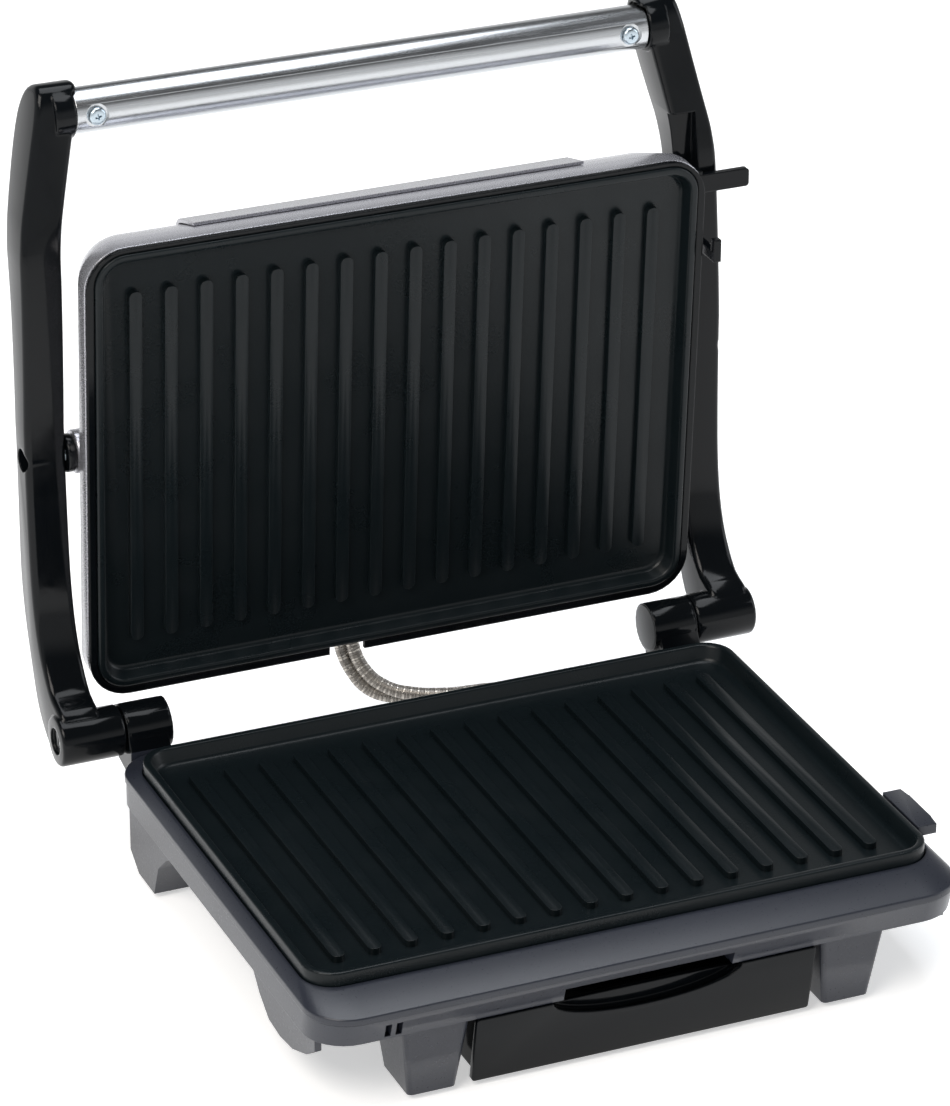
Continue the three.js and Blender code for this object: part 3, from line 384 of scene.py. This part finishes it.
rounded_block("base_top_frame", *BASE, 17 * MM, LEDGE_OUTER - 2.5 * MM, LEDGE_OUTER, MID_X, BASE_Y)
pick("FACE", lambda at, normal: normal.z > 0.9)
raise_by(0, 0, LEDGE_INNER - LEDGE_OUTER)
bpy.ops.transform.resize(value=((PLATE[0] + 3 * MM) / BASE[0], (PLATE[1] + 3 * MM) / BASE[1], 1),
                         center_override=(MID_X, BASE_Y, LEDGE_INNER))
bpy.ops.transform.translate(value=(0, LOWER_Y - BASE_Y, 0))
round_edges(0.6 * MM, 3, lambda at, way: abs(at.z - LEDGE_OUTER) < 1e-5 and abs(way.z) < 0.1)
round_edges(0.5 * MM, 2, lambda at, way: abs(at.z - LEDGE_INNER) < 1e-5)
top_frame = close_mesh()
rounded_block("frame_hole", PLATE[0] + 1 * MM, PLATE[1] + 1 * MM, PLATE_CORNER + 0.5 * MM, LEDGE_OUTER - 9 * MM,
              LEDGE_INNER + 9 * MM, MID_X, LOWER_Y)
carve(top_frame, close_mesh())

lug_points = [v.co.y for v in frame["nodes"]["base_frame"].data.vertices if v.co.x > high.x - 0.1 * MM]
LUG_Y = (min(lug_points) + max(lug_points)) / 2
LUG = (8.5 * MM, 29 * MM, 4 * MM)
rounded_block("latch_lug", LUG[0], LUG[1], 0.8 * MM, high.z - LUG[2], high.z, high.x - LUG[0] / 2, LUG_Y, segments=2)
pick("FACE", lambda at, normal: normal.x > 0.9)
bpy.ops.transform.resize(value=(1, 0.65, 1), center_override=(high.x, LUG_Y, high.z))
round_edges(0.8 * MM, 3, lambda at, way: abs(at.z - high.z) < 1e-5 and at.x > high.x - 7 * MM)
top_frame = join(top_frame, close_mesh())
finish_piece(top_frame, slate_abs, "base", "slate_plastic", "base_frame")

# ---- Base: housing --------------------------------------------------------------------------
# The lower half of the base, moulded in the same slate ABS: tub, side skirts, four legs, the
# rails that the tray runs on and the hinge's knuckles. Two vent slots are cut through its front.

housing = copy_of(frame["nodes"]["base_housing"], "base_moulding")
select_only(housing)
bpy.ops.object.mode_set(mode="EDIT")
bpy.ops.mesh.select_all(action="SELECT")
bpy.ops.mesh.remove_doubles(threshold=0.00001)
bpy.ops.mesh.dissolve_limited(angle_limit=math.radians(0.5))
bpy.ops.object.mode_set(mode="OBJECT")
housing.parent = None
for vent_x in (-104.5 * MM, -100.3 * MM):
    rounded_block("vent_cutter", 2.3 * MM, 12 * MM, 0.6 * MM, 31.5 * MM, 37 * MM, vent_x, BASE_Y - BASE[1] / 2,
                  segments=2)
    carve(housing, close_mesh())
finish_piece(housing, slate_abs, "base", "slate_plastic", "base_housing", smooth=30)
# Polished-mould ABS: deep gloss black, mirror-like at its edges. The hinge's lugs are polished too.
gloss_abs = moulded("gloss_black_abs", "#07090b", "#0a0d10", 0.1, 6.0, 0.012, 0.9, shine=0.17)
HINGE = Vector(joints["arm_hinge"]["pos_m"])
housing.data.materials.append(gloss_abs)
for face in housing.data.polygons:
    if face.center.y > BASE_Y + BASE[1] / 2 + 0.4 * MM and abs(face.center.x - MID_X) > 95 * MM:
        face.material_index = 1


def round_bar(name, radius, x0, x1, y, z, edge=0.0, vertices=64):
    """A bar along X with rounded ends."""
    bpy.ops.mesh.primitive_cylinder_add(vertices=vertices, radius=radius, depth=x1 - x0, end_fill_type="NGON",
                                        rotation=(0, math.radians(90), 0), location=((x0 + x1) / 2, y, z))
    open_mesh(name)
    if edge:
        round_edges(edge, 3, lambda at, way: abs(way.x) < 0.5 and min(abs(at.x - x0), abs(at.x - x1)) < 1e-5)
    return close_mesh()


KNUCKLE = 9.8 * MM
for side, name in ((-1, "left"), (1, "right")):
    ends = sorted((MID_X + side * 100.8 * MM, MID_X + side * 119 * MM))
    knuckle = round_bar("knuckle_" + name, KNUCKLE, *ends, HINGE.y, HINGE.z, 1.2 * MM)
    finish_piece(knuckle, gloss_abs, "base", "slate_plastic")

# ---- Base: feet, inlet and hinge pins -------------------------------------------------------
# Black rubber pads pressed under the legs, a rubber bush where the mains lead enters the rear
# wall, and steel pins that carry the arms in the knuckles.

# Rubber: matt, with the grey bloom of talc in its texture.
foot_rubber = moulded("black_rubber", "#161616", "#202020", 0.72, 0.7, 0.06, 0.4, ior=1.5)


def dress(material, *nodes):
    for node in nodes:
        mesh = frame["nodes"][node].data
        mesh.materials.clear()
        mesh.materials.append(material)


dress(foot_rubber, "foot_pad_1", "foot_pad_2", "foot_pad_3", "foot_pad_4", "cord_inlet")

# Stainless steel, belt-polished: long soft reflections with a faint grain along the length.
satin_stainless = new_material("satin_stainless_steel")
along = add_node(satin_stainless, "ShaderNodeMapping", {"Vector": place_coords(satin_stainless),
                                                        "Scale": (0.02, 1.0, 1.0)})
grit = add_node(satin_stainless, "ShaderNodeTexNoise", {"Vector": along.outputs["Vector"], "Scale": 2500.0,
                                                        "Detail": 2.0})
lines = add_node(satin_stainless, "ShaderNodeBump", {"Height": grit.outputs["Fac"], "Distance": 0.004 * MM,
                                                     "Strength": 0.5})
close_material(satin_stainless, add_node(satin_stainless, "ShaderNodeBsdfPrincipled", {
    "Base Color": tone_and_shade(satin_stainless, grit.outputs["Fac"], "#b9bcbf", "#c9cbcd"), "Metallic": 1.0,
    "Roughness": spread(satin_stainless, grit.outputs["Fac"], 0.2, 0.28), "Normal": lines.outputs["Normal"]}))
dress(satin_stainless, "hinge_pin_left", "hinge_pin_right")

# ---- Base and lid: what is inside -----------------------------------------------------------
# Tubular heaters under both plates, sheet-steel reflectors behind them, a ceramic thermostat,
# fuse, terminal block and sleeve clips, and zinc-plated screws that hold the plates.

# Incoloy heater sheath: straw to brown from its own heat.
heated_sheath = new_material("heat_tinted_incoloy")
skin, tint = speckle(heated_sheath, 14.0, 0.01)
close_material(heated_sheath, add_node(heated_sheath, "ShaderNodeBsdfPrincipled", {
    "Base Color": tone_and_shade(heated_sheath, tint.outputs["Fac"], "#4a3a30", "#6f6a66"), "Metallic": 1.0,
    "Roughness": spread(heated_sheath, tint.outputs["Fac"], 0.35, 0.5), "Normal": skin.outputs["Normal"]}))
dress(heated_sheath, "lower_element", "upper_element")

# Bright rolled sheet: shallow roller marks.
rolled_sheet = new_material("bright_rolled_sheet")
skin, marks = speckle(rolled_sheet, 9.0, 0.02)
close_material(rolled_sheet, add_node(rolled_sheet, "ShaderNodeBsdfPrincipled", {
    "Base Color": tone_and_shade(rolled_sheet, marks.outputs["Fac"], "#a4a6a8", "#babcbd"), "Metallic": 1.0,
    "Roughness": spread(rolled_sheet, marks.outputs["Fac"], 0.3, 0.4), "Normal": skin.outputs["Normal"]}))
dress(rolled_sheet, "lower_reflector", "upper_reflector")

# Steatite: unglazed cream ceramic, chalky.
steatite = moulded("unglazed_steatite", "#cfc8b8", "#ddd7c9", 0.6, 0.5, 0.05, 0.3, ior=1.6)
dress(steatite, "lower_thermostat", "terminal_block", "upper_fuse", "sleeve_clip", "conduit_clamp")

# Blue-passivated zinc plate: bright, cool, slightly mottled.
passivated_zinc = new_material("blue_passivated_zinc")
skin, mottle = speckle(passivated_zinc, 2.0, 0.01)
close_material(passivated_zinc, add_node(passivated_zinc, "ShaderNodeBsdfPrincipled", {
    "Base Color": tone_and_shade(passivated_zinc, mottle.outputs["Fac"], "#a9b6bf", "#c2ced6"), "Metallic": 1.0,
    "Roughness": spread(passivated_zinc, mottle.outputs["Fac"], 0.22, 0.34), "Normal": skin.outputs["Normal"]}))
dress(passivated_zinc, *("%s_plate_screw_%d" % (half, i) for half in ("lower", "upper") for i in (1, 2, 3, 4)),
      "pivot_screw_left", "pivot_screw_right")

# ---- Drip tray ------------------------------------------------------------------------------
# A shallow drawer of gloss black ABS under the base's front, pulled out by the half-round finger
# scoop in the top of its face.

low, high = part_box("drip_tray")
TRAY_X = (low.x + high.x) / 2
TRAY_WIDE = high.x - low.x
SCOOP = (37 * MM, 9 * MM, 13 * MM)
bpy.ops.mesh.primitive_cube_add(size=1, location=(TRAY_X, low.y + 1.25 * MM, (low.z + high.z) / 2))
bpy.context.object.scale = (TRAY_WIDE, 2.5 * MM, high.z - low.z)
open_mesh("tray_face")
round_edges(1.1 * MM, 4, lambda at, way: abs(way.y) > 0.9)
pick("VERT", lambda at, normal: at.z < low.z + 2 * MM)
bpy.ops.transform.translate(value=(0, 5 * MM, 0))
tray_face = close_mesh()
bpy.ops.mesh.primitive_cylinder_add(vertices=72, radius=1, depth=1, rotation=(math.radians(90), 0, 0),
                                    location=(TRAY_X, low.y + SCOOP[2] / 2 - 5 * MM, high.z))
bpy.context.object.scale = (SCOOP[0], SCOOP[1], SCOOP[2] + 10 * MM)
open_mesh("scoop_cutter")
scoop_cutter = close_mesh()
bowl = copy_of(scoop_cutter, "tray_scoop", Matrix.Translation((0, 5 * MM, 0)))
carve(tray_face, scoop_cutter)
soften(tray_face, 0.55 * MM, 3, 50)
select_only(bowl)
open_mesh()
bpy.ops.mesh.select_all(action="SELECT")
bpy.ops.mesh.bisect(plane_co=(TRAY_X, 0, high.z - 0.4 * MM), plane_no=(0, 0, 1), clear_outer=True)
bpy.ops.mesh.select_all(action="SELECT")
bpy.ops.mesh.bisect(plane_co=(TRAY_X, low.y + 2.2 * MM, high.z), plane_no=(0, -1, 0), clear_outer=True)
bowl = close_mesh(outwards=False)
select_only(bowl)
wall = bowl.modifiers.new("wall", "SOLIDIFY")
wall.thickness = 1.4 * MM
wall.offset = 1
bpy.ops.object.modifier_apply(modifier=wall.name)
rounded_block("tray_pan", TRAY_WIDE - 5.4 * MM, high.y - low.y - 6 * MM, 2 * MM, low.z + 1.5 * MM, high.z - 3.1 * MM,
              TRAY_X, (low.y + high.y) / 2 + 3 * MM, segments=3)
pick("FACE", lambda at, normal: normal.z > 0.9)
bpy.ops.mesh.inset(thickness=2 * MM)
raise_by(0, 0, -21 * MM)
tray_pan = close_mesh()
rails = []
for side in (-1, 1):
    bpy.ops.mesh.primitive_cube_add(size=1, location=(TRAY_X + side * (TRAY_WIDE / 2 - 1.5 * MM),
                                                      (low.y + high.y) / 2 + 6 * MM, high.z - 3.9 * MM))
    bpy.context.object.scale = (4.6 * MM, high.y - low.y - 12 * MM, 1.6 * MM)
    open_mesh("tray_rail_%d" % side)
    round_edges(0.4 * MM, 2, lambda at, way: abs(way.y) > 0.9)
    rails.append(close_mesh())
tray = join(tray_face, bowl, tray_pan, *rails)
finish_piece(tray, gloss_abs, "tray", "black_plastic", "drip_tray")

# ---- Arms -----------------------------------------------------------------------------------
# Two curved arms in gloss black ABS, mirrored, on round hubs over the hinge pins. They lean in towards the handle,
# carry the lid on shoulder screws in shallow wells, and the right one has a slot for the latch in its inner face.

HANDLE_Y = HINGE.y + 46 * MM
HANDLE_Z = (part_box("handle_tube")[0].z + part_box("handle_tube")[1].z) / 2
ARM_INNER = 127.8 * MM
ARM_OUTER = 143.8 * MM
ELBOW_Z = HANDLE_Z - 44.5 * MM
SHANK_Z = PIVOT.z + 13.1 * MM
HINGE_PART = ((-4, 9.2), (6.6, 14.7), (13.6, 22.2), (18.6, 30.7), (22.2, 41.7), (24.6, 56.7))
PIVOT_PART = ((25.8, -25.9), (26.4, -1.9))
HANDLE_PART = ((26.6, -102.5), (27.8, -70.5), (29.2, -52.5), (31, -40.5), (33.8, -26.5), (36.6, -10.5), (38.6, 1.5),
               (41.6, 9), (45.6, 11.5), (51.6, 10.5), (56.2, 7.5), (59, 1.5), (59.5, -5.5), (57.8, -16.5),
               (54, -30.5), (50.6, -41.5), (47.2, -56.5), (44, -74.5), (41.2, -101.5))
PIVOT_BACK = ((39.8, 5.1), (39.8, -23.9))
HINGE_BACK = ((39.8, 55.7), (37, 37.7), (31.4, 20.2), (25.2, 4.7), (17.6, -4.3), (10.1, -8.7), (3, -9.5))
outline = [(HINGE.y + y * MM, base_z + z * MM)
           for part, base_z in ((HINGE_PART, HINGE.z), (PIVOT_PART, PIVOT.z), (HANDLE_PART, HANDLE_Z),
                                (PIVOT_BACK, PIVOT.z), (HINGE_BACK, HINGE.z)) for y, z in part]


def flowing(points, steps=3):
    """The same closed outline with more points, on a smooth curve through the given ones."""
    count = len(points)
    result = []
    for i in range(count):
        p = [Vector(points[(i + k) % count]) for k in (-1, 0, 1, 2)]
        for step in range(steps):
            t = step / steps
            result.append(0.5 * (2 * p[1] + (p[2] - p[0]) * t + (2 * p[0] - 5 * p[1] + 4 * p[2] - p[3]) * t * t
                                 + (3 * p[1] - p[0] - 3 * p[2] + p[3]) * t ** 3))
    return result


def arm_lean(z):
    """How far the arm has leant in at that height, easing into the elbow."""
    above = z - ELBOW_Z
    ease = 9 * MM
    top = 0 if above < -ease else above if above > ease else (above + ease) ** 2 / (4 * ease)
    return 0.224 * top + 0.03 * max(0.0, min(z, ELBOW_Z) - SHANK_Z)


points = flowing(outline)
bpy.ops.mesh.primitive_circle_add(vertices=len(points), radius=0.1, fill_type="NGON")
open_mesh("arm_blade")
mesh = bmesh.from_edit_mesh(bpy.context.object.data)
mesh.verts.ensure_lookup_table()
for vertex, (y, z) in zip(mesh.verts, points):
    vertex.co = (ARM_INNER, y, z)
bmesh.update_edit_mesh(bpy.context.object.data)
bpy.ops.mesh.select_all(action="SELECT")
raise_by(ARM_OUTER - ARM_INNER, 0, 0)
bpy.ops.mesh.select_all(action="SELECT")
bpy.ops.mesh.normals_make_consistent(inside=False)
for height in (SHANK_Z, *(ELBOW_Z + k * 3 * MM for k in range(-3, 4))):
    bpy.ops.mesh.select_all(action="SELECT")
    bpy.ops.mesh.bisect(plane_co=(0, 0, height), plane_no=(0, 0, 1))
blade = close_mesh()
for vertex in blade.data.vertices:
    vertex.co.x -= arm_lean(vertex.co.z)
soften(blade, 2.4 * MM, 5, 60)


HANDLE_END = ARM_INNER - arm_lean(HANDLE_Z) + 0.36 * MM
HUB = (119.5 * MM, 145 * MM, 10 * MM)
hub = round_bar("arm_hub", HUB[2], HUB[0], HUB[1], HINGE.y, HINGE.z, 1.4 * MM)
eye = round_bar("hub_eye", 5.3 * MM, HUB[1] - 5 * MM, HUB[1] + 1 * MM, HINGE.y, HINGE.z)
carve(hub, eye)
carve(blade, round_bar("pivot_well", 4.6 * MM, ARM_INNER + 7 * MM, ARM_OUTER + 1 * MM, PIVOT.y, PIVOT.z))
carve(blade, round_bar("tube_room", 9.9 * MM, HANDLE_END - 20 * MM, HANDLE_END, HANDLE_Y, HANDLE_Z))
collar = round_bar("handle_collar", 9.9 * MM, HANDLE_END, HANDLE_END + 8 * MM, HANDLE_Y, HANDLE_Z, 0.6 * MM)
MIRROR = Matrix.Translation((MID_X, 0, 0)) @ Matrix.Scale(-1, 4, (1, 0, 0))
left_arm = join(copy_of(blade, "arm_left_moulding"), copy_of(hub, "left_hub"), copy_of(collar, "left_collar"))
left_arm.data.transform(MIRROR)
left_arm.data.flip_normals()
NOTCH_BACK = HINGE.y + 35.6 * MM
NOTCH = (5.8 * MM, ELBOW_Z - 42 * MM, ELBOW_Z + 11.5 * MM)
bpy.ops.mesh.primitive_cube_add(size=1, location=(ARM_INNER + NOTCH[0] - 9 * MM, NOTCH_BACK - 15 * MM,
                                                  (NOTCH[1] + NOTCH[2]) / 2))
bpy.context.object.scale = (18 * MM, 30 * MM, NOTCH[2] - NOTCH[1])
open_mesh("latch_slot")
arm = join(carve(blade, close_mesh()), hub, collar)
arm.name = arm.data.name = "arm_right_moulding"
arm.data.transform(Matrix.Translation((MID_X, 0, 0)))
finish_piece(arm, gloss_abs, "arms", "black_plastic", "arm_right")
finish_piece(left_arm, gloss_abs, "arms", "black_plastic", "arm_left")

# ---- Handle ---------------------------------------------------------------------------------
# A stainless tube between the arms, belt-polished, held from the front at each end by a
# zinc-plated cross-head screw in a dimple.

TUBE_RADIUS = 8.7 * MM
tube = round_bar("handle_bar", TUBE_RADIUS, MID_X - HANDLE_END + 0.3 * MM, MID_X + HANDLE_END - 0.3 * MM, HANDLE_Y,
                 HANDLE_Z, 0.5 * MM, 96)
bpy.ops.mesh.primitive_cylinder_add(vertices=48, radius=3.5 * MM, depth=3.2 * MM, end_fill_type="NGON")
open_mesh("handle_screw")
round_edges(1.5 * MM, 5, lambda at, way: at.z > 1.5 * MM)
screw = close_mesh()
for turn in (0, 90):
    bpy.ops.mesh.primitive_cube_add(size=1, location=(0, 0, 1.6 * MM))
    bpy.context.object.scale = (3.9 * MM, 0.8 * MM, 2.2 * MM)
    open_mesh("cross_%d" % turn)
    pick("FACE", lambda at, normal: normal.z < -0.9)
    bpy.ops.transform.resize(value=(0.3, 0.8, 1), center_override=(0, 0, 0.5 * MM))
    cross = close_mesh()
    cross.data.transform(Matrix.Rotation(math.radians(turn + 14), 4, "Z"))
    carve(screw, cross)
for side, name in ((-1, "left"), (1, "right")):
    face_x = MID_X + side * (HANDLE_END - 8.2 * MM)
    bpy.ops.mesh.primitive_cylinder_add(vertices=48, radius=4.6 * MM, depth=3 * MM, rotation=(math.radians(90), 0, 0),
                                        location=(face_x, HANDLE_Y - TUBE_RADIUS - 0.3 * MM, HANDLE_Z))
    open_mesh("dimple")
    carve(tube, close_mesh())
    head = copy_of(screw, "handle_screw_%s_zinc" % name, Matrix.Translation((face_x, HANDLE_Y - 8.3 * MM, HANDLE_Z))
                   @ Matrix.Rotation(math.radians(90), 4, "X"))
    finish_piece(head, passivated_zinc, "arms", "zinc", "handle_screw_" + name)
bpy.data.objects.remove(screw)
finish_piece(tube, satin_stainless, "arms", "stainless", "handle_tube")

# ---- Latch ----------------------------------------------------------------------------------
# A slider in the right arm's slot, one black ABS moulding with a thumb tab; its hooked foot goes
# under the lug of the base when the press is shut and the slider is pushed down.

dress(gloss_abs, "latch")

# ---- Lid: cover and panel -------------------------------------------------------------------
# The cover is an ABS shell painted silver, straight at the rim, then drafted to a rounded back;
# a darker silver panel is snapped over its back and turned over the top edge.


def metallic_paint(name, dark, light, roughness, base_metal=0.55):
    """Metal-flake paint under its own thin lacquer: the flakes break its gloss up very finely."""
    material = new_material(name)
    corner = add_node(material, "ShaderNodeBevel", {"Radius": 0.6 * MM}, samples=6)
    flake, sparkle = speckle(material, 0.6, 0.02, 0.35, corner.outputs["Normal"])
    return close_material(material, add_node(material, "ShaderNodeBsdfPrincipled", {
        "Base Color": tone_and_shade(material, sparkle.outputs["Fac"], dark, light), "Metallic": base_metal,
        "Roughness": spread(material, sparkle.outputs["Fac"], roughness - 0.04, roughness + 0.05),
        "Coat Weight": 0.25, "Coat Roughness": 0.12, "Normal": flake.outputs["Normal"]}))


silver_lacquer = metallic_paint("silver_flake_lacquer", "#b2b2b8", "#c0c0c6", 0.26, 0.75)
panel_lacquer = metallic_paint("dark_silver_flake_lacquer", "#9a9aa0", "#a8a8ae", 0.28, 0.75)

COVER = (251 * MM, 187 * MM)
rounded_block("lid_shell", *COVER, 16 * MM, -20 * MM, -13 * MM, segments=10)
pick("FACE", lambda at, normal: normal.z > 0.9)
raise_by(0, 0, 16.5 * MM)
bpy.ops.transform.resize(value=(1 - 12 * MM / COVER[0], 1 - 12 * MM / COVER[1], 1), center_override=(0, 0, 3.5 * MM))
raise_by(0, 0, 4 * MM)
bpy.ops.transform.resize(value=(1 - 6 * MM / COVER[0], 1 - 6 * MM / COVER[1], 1), center_override=(0, 0, 7.5 * MM))
round_edges(1.6 * MM, 4, lambda at, way: abs(at.z - 7.5 * MM) < 1e-5)
round_edges(1.8 * MM, 4, lambda at, way: abs(at.z - 3.5 * MM) < 1e-5 and abs(way.z) < 0.1)
pick("FACE", lambda at, normal: normal.z < -0.9)
bpy.ops.mesh.inset(thickness=1.6 * MM)
raise_by(0, 0, 7.5 * MM)
raise_by(0, 0, 16 * MM)
bpy.ops.transform.resize(value=(1 - 13 * MM / COVER[0], 1 - 13 * MM / COVER[1], 1), center_override=(0, 0, 3.5 * MM))
shell = close_mesh()
rounded_block("sleeve_mouth", 19 * MM, 15 * MM, 1.5 * MM, -21 * MM, -1 * MM, -17.5 * MM, -92 * MM, segments=3)
carve(shell, close_mesh())
TO_LID_BACK = (Matrix.Translation(PIVOT) @ Matrix.Rotation(LID_LEAN, 4, "X")
               @ Matrix.Rotation(math.radians(-90), 4, "X") @ Matrix.Scale(-1, 4, (0, 1, 0)))
shell.data.transform(TO_LID_BACK @ Matrix.Translation((0, LID_PLATE_UP, 0)))
shell.data.flip_normals()
for side in (-1, 1):
    pad = round_bar("pivot_pad_%d" % side, 8.5 * MM, *sorted((MID_X + side * 118.5 * MM, MID_X + side * 123.9 * MM)),
                    PIVOT.y, PIVOT.z, 0.6 * MM)
    join(shell, pad)
finish_piece(shell, silver_lacquer, "lid", "silver_shell", "lid_cover")
dress(panel_lacquer, "lid_panel")

# ---- Lid: ring, pivots and lamps ------------------------------------------------------------
# A black ABS ring closes the gap round the upper plate, black spools keep the lid between the
# arms, and two neon lamps show through clear red and green lenses in the panel.

dress(gloss_abs, "lid_frame")
for side, name in ((-1, "left"), (1, "right")):
    low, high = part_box("pivot_bush_" + name)
    spool = round_bar("pivot_spool_" + name, 7.4 * MM, low.x, high.x, PIVOT.y, PIVOT.z, 0.7 * MM)
    finish_piece(spool, gloss_abs, "lid", "black_plastic", "pivot_bush_" + name)


def lens(name, colour):
    """Clear tinted polycarbonate over a lamp."""
    material = new_material(name)
    skin, ripple = speckle(material, 1.5, 0.05)
    return close_material(material, add_node(material, "ShaderNodeBsdfPrincipled", {
        "Base Color": hex_colour(colour), "Roughness": spread(material, ripple.outputs["Fac"], 0.05, 0.12),
        "Transmission Weight": 0.7, "IOR": 1.58, "Normal": skin.outputs["Normal"]}))


dress(lens("red_polycarbonate", "#c01410"), "lamp_power")
dress(lens("green_polycarbonate", "#1a9a3a"), "lamp_ready")

# ---- Sleeves of the lid's wires -------------------------------------------------------------
# Two spiral-wound steel sleeves come out of the notch under the lid, hang behind the base and go in through its rear
# wall.

SLEEVE = 2.65 * MM
ROUTES = {
    "conduit_front": ((-14, 142.3, 70), (-14, 142.2, 62), (-13.6, 140.8, 52), (-10.5, 135, 42.2), (-4, 129, 36.6),
                      (5, 123.5, 34.6), (16, 118.5, 34.4), (27, 114, 34.9), (36, 109, 35.8), (41.6, 103, 35.8),
                      (43, 97, 35.8), (43, 90, 35.8)),
    "conduit_rear": ((-17.5, 147, 70), (-17.5, 146.8, 62), (-17.2, 145.5, 52), (-14.4, 140.6, 41),
                     (-8.8, 135.4, 33.6), (0, 130.6, 30.8), (11.5, 126.2, 30.8), (24, 121.8, 31.8),
                     (36, 116.6, 33.6), (45, 110, 35),
                     (49.1, 104, 35.8), (49.3, 97, 35.8), (49.3, 90, 35.8)),
}
# Spiral-wound stainless strip: each turn is a small bead, drawn 1.4 mm apart so that it shows. Its colour follows the
# beads: painted shade in the grooves between the turns and a painted highlight on their crests.
spiral_steel = new_material("spiral_wound_stainless")
turns = add_node(spiral_steel, "ShaderNodeAttribute", attribute_name="along")
bead = add_node(spiral_steel, "ShaderNodeMath", {0: turns.outputs["Fac"]}, operation="SINE")
beads = add_node(spiral_steel, "ShaderNodeBump", {"Height": bead.outputs["Value"], "Distance": 0.16 * MM,
                                                  "Strength": 0.8})
close_material(spiral_steel, add_node(spiral_steel, "ShaderNodeBsdfPrincipled", {
    "Base Color": tone_and_shade(spiral_steel, bead.outputs["Value"], "#8f8a84", "#cfc9c0"), "Metallic": 0.85,
    "Roughness": spread(spiral_steel, bead.outputs["Value"], 0.4, 0.26), "Normal": beads.outputs["Normal"]}))
for node, route in ROUTES.items():
    curve = bpy.data.curves.new(node + "_sleeving", "CURVE")
    curve.dimensions = "3D"
    curve.bevel_depth = SLEEVE
    curve.bevel_resolution = 6
    curve.resolution_u = 40
    curve.use_fill_caps = True
    spline = curve.splines.new("BEZIER")
    spline.bezier_points.add(len(route) - 1)
    for point, (x, y, z) in zip(spline.bezier_points, route):
        point.co = (x * MM + MID_X, y * MM + LOWER_Y, z * MM)
        point.handle_left_type = point.handle_right_type = "AUTO"
    sleeve = bpy.data.objects.new(node + "_sleeving", curve)
    bpy.context.collection.objects.link(sleeve)
    select_only(sleeve)
    bpy.ops.object.convert(target="MESH")
    sleeve = bpy.context.object
    path = [Vector(p) for p in flowing([(x * MM + MID_X, y * MM + LOWER_Y, z * MM) for x, y, z in route], 12)]
    path = path[:(len(route) - 1) * 12 + 1]
    length = [0.0]
    for here, there in zip(path, path[1:]):
        length.append(length[-1] + (there - here).length)
    along = sleeve.data.attributes.new("along", "FLOAT", "POINT")
    for vertex in sleeve.data.vertices:
        nearest = min(range(len(path)), key=lambda i: (path[i] - vertex.co).length_squared)
        along.data[vertex.index].value = length[nearest] / (1.4 * MM) * 2 * math.pi
    finish_piece(sleeve, spiral_steel, None, "stainless", node, smooth=80)
    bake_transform(sleeve)
